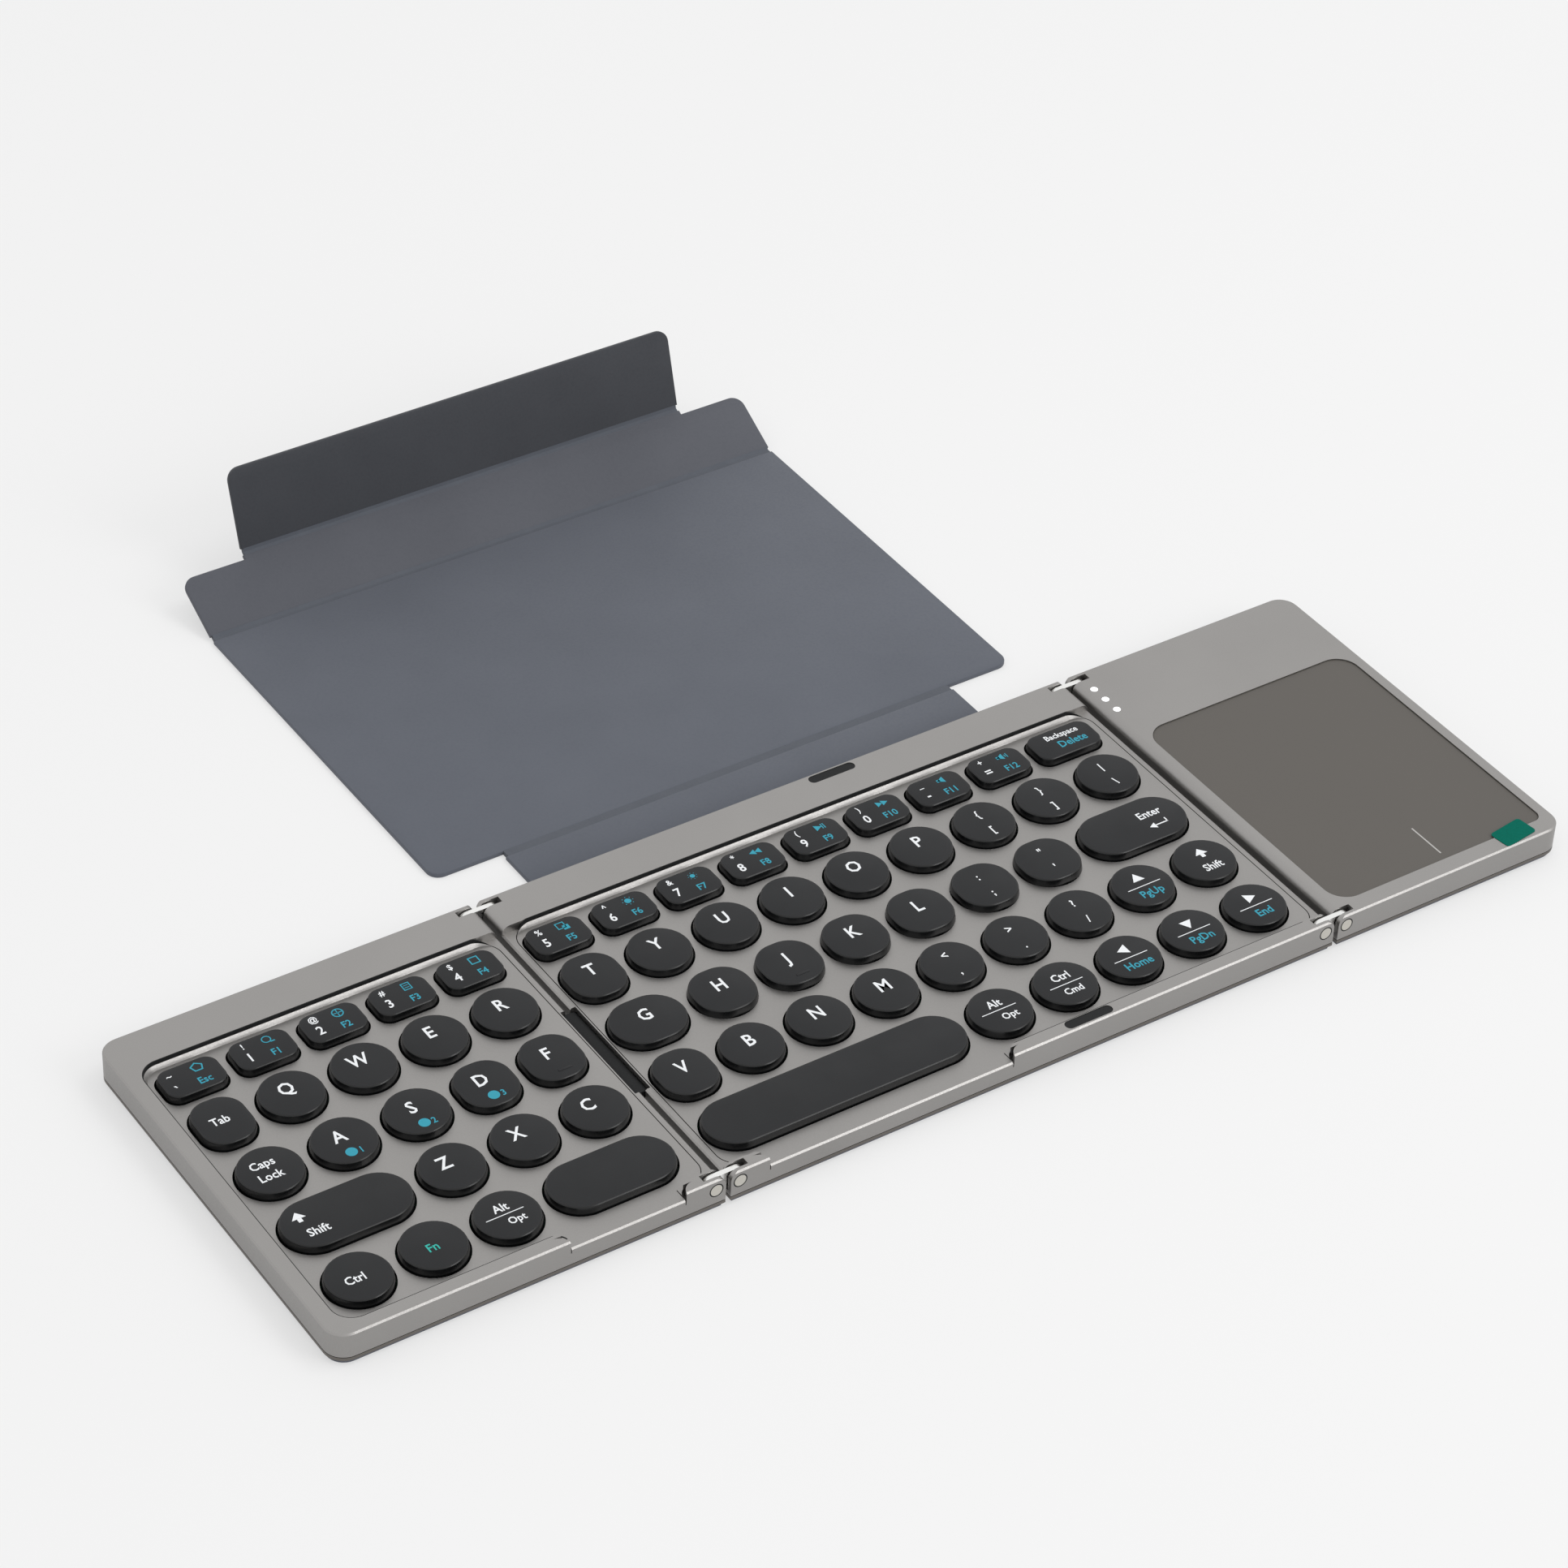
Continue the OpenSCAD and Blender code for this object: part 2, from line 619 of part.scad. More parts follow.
// The cover sheet under the middle panel, with the bead that the flap's neck turns on
module middle_cover() {
  color(sheet_grey) union() {
    linear_extrude(sheet_t) {
      middle_outline(sheet_inset);
      translate([-neck_w / 2, 0]) square([neck_w, neck_y]);
    }
    bead(neck_w, neck_y);
  }
}

// A round edge for a sheet that ends at a crease
module bead(w, y) {
  translate([0, y, crease_z]) rotate([0, 90, 0]) cylinder(h = w, r = sheet_t / 2, center = true);
}

// Floors of the two slots for the rubber pads
module rim_slots() {
  for (sy = [-1, 1])
    translate([meet_x, sy * (depth / 2 - bumper_y), top_z - bumper_sink - bumper_t]) children();
}

module rim_pads() {
  color(black) rim_slots() linear_extrude(bumper_t)
    round_rect(bumper_l - 2 * bumper_clear, bumper_w - 2 * bumper_clear, bumper_w / 2 - bumper_clear);
}

module middle_pins() {
  color(steel) {
    translate([-middle_w / 2, 0, 0]) pin_pair();
    translate([middle_w / 2, 0, 0]) mirror([1, 0, 0]) pin_pair();
  }
}

// Puts a wing that is drawn with its hinge edge at x = 0 in its place
module on_left() {
  translate([-wing_x, 0, 0]) mirror([1, 0, 0]) children();
}

module on_right() {
  translate([wing_x, 0, 0]) children();
}

module left_frame() {
  color(metal) difference() {
    on_left() difference() {
      wing_block(left_w);
      plate_recess(strip_w, left_w - rim_side);
      low_strip();
      low_rim(block_l, left_low);
      hinge_cuts();
      cable_notch();
    }
    foot_room(left_rows, left_start);
  }
}

module left_tray() {
  color(metal_dark) on_left() wing_tray(left_w);
}

module left_plate() {
  key_plate(-wing_x - left_w + rim_side, -wing_x - strip_w, -wing_x - left_low, -wing_x - block_l,
            left_rows, left_start);
}

module left_board() {
  color("darkgreen") union() {
    translate([0, 0, board_z]) linear_extrude(board_t)
      plate_outline(-wing_x - left_w + rim_side, -wing_x - strip_w, ledge_w + fit_gap);
    switches(left_rows, left_start);
  }
}

module left_cover() {
  color(sheet_grey) on_left() linear_extrude(sheet_t) wing_outline(left_w, sheet_inset);
}

module left_pins() {
  color(steel) on_left() pin_pair();
}

// The touchpad's outline in the right wing
module pad_outline(grow) {
  w = right_w - pad_left - pad_right + 2 * grow;
  l = pad_back_y - pad_front_y + 2 * grow;
  translate([pad_mid_x, pad_mid_y]) {
    round_rect(w, l, pad_r + grow);
    translate([w / 4, -l / 4]) round_rect(w / 2, l / 2, pad_tip_r + grow);
  }
}

// Outer end of the charging socket, with the socket along negative z
module port_place() {
  translate([right_w / 2, back, frame_z + port_lift + port_h / 2]) rotate([-90, 0, 0]) children();
}

// Places of the indicator lights' feet
module light_places() {
  for (i = [0:2]) translate([light_x, back - light_back - i * light_pitch, pin_z]) children();
}

module right_frame() {
  room_back = back - rim_back;
  color(metal) on_right() difference() {
    wing_block(right_w);
    translate([0, 0, pad_floor]) linear_extrude(top_z) pad_outline(pad_clear);
    translate([0, 0, deck_z - 1]) linear_extrude(top_z) pad_outline(-pad_ledge);
    translate([room_x, front + room_front, frame_z - 1])
      cube([right_w - room_x - room_wall, room_back - front - room_front, deck_z - frame_z + 1]);
    light_places() cylinder(h = top_z, r = light_d / 2 + press_gap);
    port_place() linear_extrude(2 * rim_back + 2, center = true)
      round_rect(port_w + 2 * press_gap, port_h + 2 * press_gap, port_h / 2 + press_gap);
    hinge_cuts();
  }
}

module right_tray() {
  color(metal_dark) on_right() wing_tray(right_w);
}

module right_cover() {
  color(sheet_grey) on_right() linear_extrude(sheet_t) wing_outline(right_w, sheet_inset);
}

module right_pins() {
  color(steel) on_right() pin_pair();
}

module touchpad() {
  color("#6d6862") on_right() translate([0, 0, pad_z]) linear_extrude(pad_t) pad_outline(0);
}

// The board that is glued under the touchpad and moves with it
module touch_board() {
  color("darkgreen") on_right() translate([0, 0, pad_z - board_t])
    linear_extrude(board_t) pad_outline(-pad_ledge - pad_clear);
}

module battery() {
  color("silver") on_right() translate([pad_mid_x, pad_mid_y, frame_z])
    linear_extrude(battery_t) round_rect(battery_w, battery_l, 2);
}

module indicator_lights() {
  color("white") on_right() light_places() cylinder(h = top_z - pin_z, r = light_d / 2);
}

// The pull tab of the thin film that still lies on the touchpad
module film_tab() {
  color("#0b7f67") on_right() translate([right_w - tab_x, front + tab_y, top_z])
    rotate([0, 0, tab_turn]) linear_extrude(tab_t) round_rect(tab_l, tab_d, 0.8);
}

// A socket with a blade for the contacts, closed at its inner end
module charging_port() {
  end_wall = 1;
  color(steel) on_right() port_place() translate([0, 0, -port_l - pin_sink]) {
    difference() {
      linear_extrude(port_l) round_rect(port_w, port_h, port_h / 2);
      translate([0, 0, end_wall]) linear_extrude(port_l)
        round_rect(port_w - 2 * port_wall, port_h - 2 * port_wall, port_h / 2 - port_wall);
    }
    translate([-port_w / 2 + 1.1, -0.35, end_wall / 2]) cube([port_w - 2.2, 0.7, port_l - 2]);
  }
}

// Two links, front and back, that join two panels with a pin in each
module link_pair() {
  color(steel) for (sy = [-1, 1])
    translate([0, sy * (depth / 2 - link_y), pin_z]) rotate([90, 0, 0])
      linear_extrude(link_t, center = true) difference() {
        round_rect(2 * pin_half + 2 * link_r, 2 * link_r, link_r);
        for (sx = [-1, 1]) translate([sx * pin_half, 0]) circle(pin_r + pin_clear);
      }
}

module left_links() {
  translate([-hinge_x, 0, 0]) link_pair();
}

module right_links() {
  translate([hinge_x, 0, 0]) link_pair();
}

// The rubber strip over the cable that runs through the left hinge gap
module cable_cover() {
  color(black) translate([-hinge_x, front + cable_y, cable_top - cable_h / 2]) rotate([90, 0, 0])
    linear_extrude(cable_l, center = true) round_rect(2 * cable_half, cable_h, 0.6);
}

module flap_neck() {
  color(sheet_grey) union() {
    translate([-neck_w / 2, neck_y + sheet_start, 0]) cube([neck_w, neck_l - sheet_start, sheet_t]);
    bead(neck_w, panel_y);
  }
}

module flap_panel() {
  y0 = panel_y + sheet_start;
  color(sheet_grey) union() {
    linear_extrude(sheet_t) {
      translate([-flap_w / 2, y0 + flap_r]) square([flap_w, spine_y - y0 - flap_r]);
      translate([-flap_w / 2 + flap_r, y0]) square([flap_w - 2 * flap_r, flap_r + 1]);
      for (sx = [-1, 1]) translate([sx * (flap_w / 2 - flap_r), y0 + flap_r]) circle(flap_r);
    }
    bead(flap_w, spine_y);
  }
}

// Moves a piece that is drawn from a crease at the origin onto the spine's or the tongue's crease
module at_spine() {
  translate([0, spine_y, crease_z]) rotate([spine_angle, 0, 0]) children();
}

module at_tongue() {
  at_spine() translate([0, spine_l, 0]) rotate([tongue_angle, 0, 0]) children();
}

module flap_spine() {
  end = spine_l - shoulder;
  color(sheet_grey) at_spine() union() {
    translate([0, 0, -sheet_t / 2]) linear_extrude(sheet_t) {
      translate([-flap_w / 2, sheet_start]) square([flap_w, end - sheet_start - flap_r]);
      translate([-flap_w / 2 + flap_r, sheet_start]) square([flap_w - 2 * flap_r, end - sheet_start]);
      translate([-tongue_w / 2, sheet_start]) square([tongue_w, spine_l - sheet_start]);
      for (sx = [-1, 1]) translate([sx * (flap_w / 2 - flap_r), end - flap_r]) circle(flap_r);
    }
    translate([0, spine_l, 0]) rotate([0, 90, 0]) cylinder(h = tongue_w, r = sheet_t / 2, center = true);
  }
}

module flap_tongue() {
  color("#42454b") at_tongue() difference() {
    translate([0, 0, -sheet_t / 2]) linear_extrude(sheet_t) {
      translate([-tongue_w / 2, sheet_start]) square([tongue_w, tongue_l - sheet_start - flap_r]);
      translate([-tongue_w / 2 + flap_r, sheet_start])
        square([tongue_w - 2 * flap_r, tongue_l - sheet_start]);
      for (sx = [-1, 1]) translate([sx * (tongue_w / 2 - flap_r), tongue_l - flap_r]) circle(flap_r);
    }
    magnet_places() translate([0, 0, -1]) linear_extrude(magnet_t + 1) round_rect(magnet_l, magnet_w, 1);
  }
}

// The magnets lie in shallow pockets in the tongue's rear face
module magnet_places() {
  for (i = [-1:1]) translate([i * magnet_pitch, tongue_l * 0.55, -sheet_t / 2]) children();
}

module tongue_magnets() {
  color(steel) at_tongue() magnet_places()
    linear_extrude(magnet_t)
      round_rect(magnet_l - 2 * magnet_clear, magnet_w - 2 * magnet_clear, 1 - magnet_clear);
}

middle_frame();
middle_tray();
middle_plate();
middle_board();
middle_cover();
rim_pads();
middle_pins();
left_frame();
left_tray();
left_plate();
left_board();
left_cover();
left_pins();
right_frame();
right_tray();
right_cover();
right_pins();
touchpad();
touch_board();
battery();
indicator_lights();
film_tab();
charging_port();
left_links();
right_links();
cable_cover();
flap_neck();
flap_panel();
flap_spine();
flap_tongue();
tongue_magnets();
keys("ctrl_key");  // ctrl_key
keys("fn_key");  // fn_key
keys("alt_key");  // alt_key
keys("left_space_key");  // left_space_key
keys("left_shift_key");  // left_shift_key
keys("zxc_keys");  // zxc_keys
keys("caps_key");  // caps_key
keys("asdf_keys");  // asdf_keys
keys("tab_key");  // tab_key
keys("qwer_keys");  // qwer_keys
keys("escape_key");  // escape_key
keys("digit_keys_1_4");  // digit_keys_1_4
keys("space_key");  // space_key
keys("option_key");  // option_key
keys("command_key");  // command_key
keys("left_arrow_key");  // left_arrow_key
keys("down_arrow_key");  // down_arrow_key
keys("right_arrow_key");  // right_arrow_key
keys("vbnm_keys");  // vbnm_keys
keys("up_arrow_key");  // up_arrow_key
keys("right_shift_key");  // right_shift_key
keys("ghjkl_keys");  // ghjkl_keys
keys("enter_key");  // enter_key
keys("tyuiop_keys");  // tyuiop_keys
keys("bracket_keys");  // bracket_keys
keys("digit_keys_5_0");  // digit_keys_5_0
keys("minus_equals_keys");  // minus_equals_keys
keys("backspace_key");  // backspace_key
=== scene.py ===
# Folding pocket keyboard: the looks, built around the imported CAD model.
import json
import math

import bmesh
import bpy
from mathutils import Matrix, Vector


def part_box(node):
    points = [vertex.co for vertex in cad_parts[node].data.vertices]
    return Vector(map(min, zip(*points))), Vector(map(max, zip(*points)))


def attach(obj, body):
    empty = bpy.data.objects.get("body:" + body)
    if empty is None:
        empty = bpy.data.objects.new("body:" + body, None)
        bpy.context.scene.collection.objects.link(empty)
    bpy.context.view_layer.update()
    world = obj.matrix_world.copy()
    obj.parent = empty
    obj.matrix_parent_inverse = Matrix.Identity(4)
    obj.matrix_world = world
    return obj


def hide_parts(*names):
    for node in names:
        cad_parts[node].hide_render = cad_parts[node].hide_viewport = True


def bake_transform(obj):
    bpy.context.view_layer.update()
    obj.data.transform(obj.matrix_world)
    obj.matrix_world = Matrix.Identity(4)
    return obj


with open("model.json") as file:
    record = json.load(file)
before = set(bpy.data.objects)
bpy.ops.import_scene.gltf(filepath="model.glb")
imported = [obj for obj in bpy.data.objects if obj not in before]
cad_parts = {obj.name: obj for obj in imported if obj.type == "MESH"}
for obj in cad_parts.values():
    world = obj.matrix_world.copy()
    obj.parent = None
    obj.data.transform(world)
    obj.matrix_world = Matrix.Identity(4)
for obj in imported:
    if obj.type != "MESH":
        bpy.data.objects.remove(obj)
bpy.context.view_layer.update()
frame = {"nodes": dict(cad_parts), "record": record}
nodes = frame["nodes"]
bodies = frame["record"]["behaviour"]["bodies"]
mm = 0.001
print("frame loaded,", len(nodes), "nodes")


# --- small helpers

def linearColour(hexText):
    parts = [int(hexText[i:i + 2], 16) / 255 for i in (1, 3, 5)]
    return tuple(p / 12.92 if p <= 0.04045 else ((p + 0.055) / 1.055) ** 2.4 for p in parts) + (1.0,)


def addNode(tree, kind, values=(), links=()):
    node = tree.nodes.new(kind)
    for name, value in dict(values).items():
        if isinstance(name, int) or name in node.inputs:
            node.inputs[name].default_value = value
        else:
            setattr(node, name, value)
    for name, (source, output) in dict(links).items():
        tree.links.new(source.outputs[output], node.inputs[name])
    return node


def startMaterial(name, look):
    material = bpy.data.materials.new(name)
    material.use_nodes = True
    tree = material.node_tree
    surface = tree.nodes["Principled BSDF"]
    surface.inputs["Base Color"].default_value = linearColour(look["colour"])
    surface.inputs["Roughness"].default_value = look["roughness"]
    surface.inputs["Metallic"].default_value = look.get("metallic", 0.0)
    place = addNode(tree, "ShaderNodeTexCoord")
    return material, tree, surface, place


def twoTone(tree, surface, field, output, look, low=0.3, high=0.7):
    # the colour wanders between two near tones
    spread = addNode(tree, "ShaderNodeMapRange", {"From Min": low, "From Max": high}, {"Value": (field, output)})
    tone = addNode(tree, "ShaderNodeMix", {"data_type": "RGBA", 6: linearColour(look["colour"]),
                                           7: linearColour(look["otherColour"])}, {0: (spread, "Result")})
    tree.links.new(tone.outputs[2], surface.inputs["Base Color"])


def rangeOf(tree, surface, field, output, socket, low, high):
    spread = addNode(tree, "ShaderNodeMapRange", {"From Min": 0.3, "From Max": 0.7, "To Min": low, "To Max": high},
                     {"Value": (field, output)})
    tree.links.new(spread.outputs["Result"], surface.inputs[socket])


def relief(tree, surface, field, output, depth, strength=1.0):
    bump = addNode(tree, "ShaderNodeBump", {"Strength": strength, "Distance": depth}, {"Height": (field, output)})
    tree.links.new(bump.outputs["Normal"], surface.inputs["Normal"])


# --- materials

def blastedAluminium(name, look):
    # anodised aluminium, bead blasted: an even satin grey with a very fine sparkle
    material, tree, surface, place = startMaterial(name, look)
    grain = addNode(tree, "ShaderNodeTexNoise", {"Scale": 1 / look["grain"], "Detail": 2.0}, {"Vector": (place, "Object")})
    cloud = addNode(tree, "ShaderNodeTexNoise", {"Scale": 1 / look["cloud"], "Detail": 3.0}, {"Vector": (place, "Object")})
    twoTone(tree, surface, cloud, "Fac", look)
    rangeOf(tree, surface, grain, "Fac", "Roughness", look["roughness"] - 0.05, look["roughness"] + 0.06)
    relief(tree, surface, grain, "Fac", look["depth"], 0.5)
    return material


def mouldedPlastic(name, look):
    # ABS moulded in an eroded tool: a dense matte grain that softens the light on the edges
    material, tree, surface, place = startMaterial(name, look)
    grain = addNode(tree, "ShaderNodeTexNoise", {"Scale": 1 / look["grain"], "Detail": 4.0}, {"Vector": (place, "Object")})
    touch = addNode(tree, "ShaderNodeTexNoise", {"Scale": 1 / look["cloud"], "Detail": 2.0}, {"Vector": (place, "Object")})
    twoTone(tree, surface, grain, "Fac", look)
    rangeOf(tree, surface, touch, "Fac", "Roughness", look["roughness"] - 0.06, look["roughness"] + 0.05)
    relief(tree, surface, grain, "Fac", look["depth"], 0.6)
    surface.inputs["Specular IOR Level"].default_value = look["gloss"]
    return material


def printedInk(name, look):
    # pad-printed ink: a thin, slightly speckled layer
    material, tree, surface, place = startMaterial(name, look)
    speckle = addNode(tree, "ShaderNodeTexNoise", {"Scale": 1 / look["grain"], "Detail": 2.0}, {"Vector": (place, "Object")})
    twoTone(tree, surface, speckle, "Fac", look)
    relief(tree, surface, speckle, "Fac", look["depth"], 0.4)
    surface.inputs["Specular IOR Level"].default_value = look.get("gloss", 0.5)
    return material


def drawnSteel(name, look):
    # stainless steel, drawn and tumbled: bright, with fine lines along X
    material, tree, surface, place = startMaterial(name, look)
    turned = addNode(tree, "ShaderNodeMapping", {"Scale": (1 / look["length"], 1 / look["grain"], 1 / look["grain"])},
                     {"Vector": (place, "Object")})
    lines = addNode(tree, "ShaderNodeTexNoise", {"Scale": 1.0, "Detail": 3.0}, {"Vector": (turned, "Vector")})
    twoTone(tree, surface, lines, "Fac", look)
    rangeOf(tree, surface, lines, "Fac", "Roughness", look["roughness"] - 0.06, look["roughness"] + 0.08)
    relief(tree, surface, lines, "Fac", look["depth"], 0.4)
    return material


def grainedSheet(name, look):
    # polyurethane coated fabric, embossed: small rounded cells with fine valleys, hardly any gloss
    material, tree, surface, place = startMaterial(name, look)
    warp = addNode(tree, "ShaderNodeTexNoise", {"Scale": 1 / (4 * look["grain"]), "Detail": 2.0}, {"Vector": (place, "Object")})
    bent = addNode(tree, "ShaderNodeVectorMath", {"operation": "MULTIPLY_ADD", 1: (look["grain"],) * 3},
                   {0: (warp, "Color"), 2: (place, "Object")})
    cells = addNode(tree, "ShaderNodeTexVoronoi", {"Scale": 1 / look["grain"], "feature": "SMOOTH_F1"}, {"Vector": (bent, "Vector")})
    cloud = addNode(tree, "ShaderNodeTexNoise", {"Scale": 1 / look["cloud"], "Detail": 3.0}, {"Vector": (place, "Object")})
    twoTone(tree, surface, cloud, "Fac", look)
    rangeOf(tree, surface, cells, "Distance", "Roughness", look["roughness"] - 0.05, look["roughness"] + 0.05)
    relief(tree, surface, cells, "Distance", look["depth"], 0.35)
    surface.inputs["Sheen Weight"].default_value = 0.08
    surface.inputs["Sheen Roughness"].default_value = 0.6
    surface.inputs["Specular IOR Level"].default_value = 0.3
    return material


def softRubber(name, look):
    # silicone rubber: dull, with a dusty bloom
    material, tree, surface, place = startMaterial(name, look)
    bloom = addNode(tree, "ShaderNodeTexNoise", {"Scale": 1 / look["grain"], "Detail": 5.0}, {"Vector": (place, "Object")})
    twoTone(tree, surface, bloom, "Fac", look)
    relief(tree, surface, bloom, "Fac", look["depth"], 0.5)
    surface.inputs["Specular IOR Level"].default_value = 0.22
    return material


def satinGlass(name, look):
    # etched glass with a dark warm coat under it: satin, with a hair-fine tooth
    material, tree, surface, place = startMaterial(name, look)
    tooth = addNode(tree, "ShaderNodeTexNoise", {"Scale": 1 / look["grain"], "Detail": 3.0}, {"Vector": (place, "Object")})
    smear = addNode(tree, "ShaderNodeTexNoise", {"Scale": 1 / look["cloud"], "Detail": 4.0, "Distortion": 0.6},
                    {"Vector": (place, "Object")})
    twoTone(tree, surface, smear, "Fac", look)
    rangeOf(tree, surface, smear, "Fac", "Roughness", look["roughness"] - 0.05, look["roughness"] + 0.06)
    relief(tree, surface, tooth, "Fac", look["depth"], 0.3)
    return material


def clearLens(name, look):
    # frosted acrylic light guide, lit from under it
    material, tree, surface, place = startMaterial(name, look)
    frost = addNode(tree, "ShaderNodeTexNoise", {"Scale": 1 / look["grain"], "Detail": 2.0}, {"Vector": (place, "Object")})
    twoTone(tree, surface, frost, "Fac", look)
    relief(tree, surface, frost, "Fac", look["depth"], 0.3)
    surface.inputs["Emission Color"].default_value = linearColour(look["colour"])
    surface.inputs["Emission Strength"].default_value = look["glow"]
    return material


def lacqueredBoard(name, look):
    # glass-fibre circuit board under green lacquer, with faint tracks
    material, tree, surface, place = startMaterial(name, look)
    tracks = addNode(tree, "ShaderNodeTexBrick", {"Scale": 1 / look["grain"], "Mortar Size": 0.04,
                                                  "Color1": linearColour(look["colour"]), "Color2": linearColour(look["otherColour"]),
                                                  "Mortar": linearColour(look["track"])}, {"Vector": (place, "Object")})
    tree.links.new(tracks.outputs["Color"], surface.inputs["Base Color"])
    relief(tree, surface, tracks, "Fac", look["depth"], 0.5)
    return material


def wrinkledFoil(name, look):
    # laminated aluminium foil of a pouch cell: bright, with soft wrinkles
    material, tree, surface, place = startMaterial(name, look)
    wrinkle = addNode(tree, "ShaderNodeTexNoise", {"Scale": 1 / look["grain"], "Detail": 3.0, "Distortion": 0.8},
                      {"Vector": (place, "Object")})
    twoTone(tree, surface, wrinkle, "Fac", look)
    relief(tree, surface, wrinkle, "Fac", look["depth"], 0.8)
    return material


looks = {
    "frameMetal": {"colour": "#9a9896", "otherColour": "#9e9c9a", "metallic": 1.0, "roughness": 0.42,
                   "grain": 0.25 * mm, "cloud": 30 * mm, "depth": 0.006 * mm},
    # the trays: the frames' metal painted darker, a painted shade of the band under the frames
    "trayMetalShaded": {"colour": "#716d69", "otherColour": "#76726e", "metallic": 1.0, "roughness": 0.45,
                  "grain": 0.3 * mm, "cloud": 30 * mm, "depth": 0.006 * mm},
    "keyPlastic": {"colour": "#17181a", "otherColour": "#1a1b1d", "roughness": 0.5,
                   "grain": 0.22 * mm, "cloud": 9 * mm, "depth": 0.02 * mm, "gloss": 0.3},
    # the caps' sides: the same plastic as the tops, glossier, and painted darker as painted shade on the side walls
    "keySideGlossAndShade": {"colour": "#08090a", "otherColour": "#0b0c0d", "roughness": 0.27,
                "grain": 0.3 * mm, "cloud": 9 * mm, "depth": 0.004 * mm, "gloss": 0.4},
    "whiteInk": {"colour": "#eef0f2", "otherColour": "#e2e5e8", "roughness": 0.5, "grain": 0.15 * mm, "depth": 0.004 * mm},
    "tealInk": {"colour": "#1b98b0", "otherColour": "#2090a4", "roughness": 0.5, "grain": 0.15 * mm, "depth": 0.004 * mm},
    "mintInk": {"colour": "#1aaea2", "otherColour": "#20a89c", "roughness": 0.5, "grain": 0.15 * mm, "depth": 0.004 * mm},
    "greyInk": {"colour": "#a9a7a4", "otherColour": "#b0aeab", "roughness": 0.5, "grain": 0.15 * mm, "depth": 0.004 * mm},
    "linkSteel": {"colour": "#f0f0ee", "otherColour": "#e9e9e7", "metallic": 1.0, "roughness": 0.26,
                  "length": 4 * mm, "grain": 0.12 * mm, "depth": 0.0008 * mm},
    "pinSteel": {"colour": "#c6c3bb", "otherColour": "#cecbc3", "metallic": 1.0, "roughness": 0.4,
                 "length": 2 * mm, "grain": 0.2 * mm, "depth": 0.002 * mm},
    "socketSteel": {"colour": "#b9bbbd", "otherColour": "#adb0b2", "metallic": 1.0, "roughness": 0.3,
                    "length": 3 * mm, "grain": 0.1 * mm, "depth": 0.003 * mm},
    "flapSheet": {"colour": "#545861", "otherColour": "#585c65", "roughness": 0.66,
                  "grain": 0.55 * mm, "cloud": 22 * mm, "depth": 0.03 * mm},
    # the spine: the flap's own cloth painted darker, a painted shade of the spine tilted up off the table
    "shadedSpineSheet": {"colour": "#4e5057", "otherColour": "#52545b", "roughness": 0.7,
                   "grain": 0.55 * mm, "cloud": 22 * mm, "depth": 0.03 * mm},
    # the creases: the flap's cloth painted darker, a painted shade in the folds
    "shadedCreaseSheet": {"colour": "#4c5058", "otherColour": "#50545c", "roughness": 0.7,
                    "grain": 0.5 * mm, "cloud": 5 * mm, "depth": 0.03 * mm},
    # the tongue: the flap's cloth painted darker still, a painted shade of the tongue standing almost upright
    "shadedTongueSheet": {"colour": "#36383d", "otherColour": "#3a3c41", "roughness": 0.72,
                    "grain": 0.45 * mm, "cloud": 16 * mm, "depth": 0.02 * mm},
    # the black rubber of the cable cover and the rim pads; the same black also paints the shade of the gaps round the
    # key plates and the pins
    "blackRubberAndShade": {"colour": "#151617", "otherColour": "#1b1c1d", "roughness": 0.6, "grain": 0.4 * mm, "depth": 0.02 * mm},
    "padGlass": {"colour": "#514d48", "otherColour": "#54504b", "roughness": 0.48,
                 "grain": 0.2 * mm, "cloud": 18 * mm, "depth": 0.004 * mm},
    "padSeal": {"colour": "#5f5c56", "otherColour": "#64615b", "roughness": 0.7, "grain": 0.3 * mm, "depth": 0.01 * mm},
    "greenFilm": {"colour": "#015e4f", "otherColour": "#016455", "roughness": 0.6, "grain": 0.5 * mm, "depth": 0.01 * mm,
                  "gloss": 0.05},
    "lightLens": {"colour": "#f4f6f8", "otherColour": "#ffffff", "roughness": 0.3, "grain": 0.3 * mm, "depth": 0.01 * mm,
                  "glow": 0.6},
    "circuitBoard": {"colour": "#123d2a", "otherColour": "#15442f", "track": "#1f5a3f", "roughness": 0.4,
                     "grain": 6 * mm, "depth": 0.03 * mm},
    "batteryFoil": {"colour": "#b8babd", "otherColour": "#c2c4c6", "metallic": 1.0, "roughness": 0.32,
                    "grain": 5 * mm, "depth": 0.12 * mm},
    "magnetNickel": {"colour": "#b4b3ae", "otherColour": "#bdbcb7", "metallic": 1.0, "roughness": 0.22,
                     "length": 2 * mm, "grain": 0.3 * mm, "depth": 0.002 * mm},
}
finishes = {
    "frameMetal": blastedAluminium, "trayMetalShaded": blastedAluminium, "keyPlastic": mouldedPlastic, "keySideGlossAndShade": mouldedPlastic,
    "whiteInk": printedInk, "tealInk": printedInk, "mintInk": printedInk, "greyInk": printedInk,
    "linkSteel": drawnSteel, "pinSteel": drawnSteel, "socketSteel": drawnSteel,
    "flapSheet": grainedSheet, "shadedSpineSheet": grainedSheet, "shadedCreaseSheet": grainedSheet, "shadedTongueSheet": grainedSheet,
    "blackRubberAndShade": softRubber, "padSeal": softRubber, "padGlass": satinGlass, "greenFilm": printedInk, "lightLens": clearLens,
    "circuitBoard": lacqueredBoard, "batteryFoil": wrinkledFoil, "magnetNickel": drawnSteel,
}
materials = {name: finishes[name](name, look) for name, look in looks.items()}
print("materials made:", len(materials))

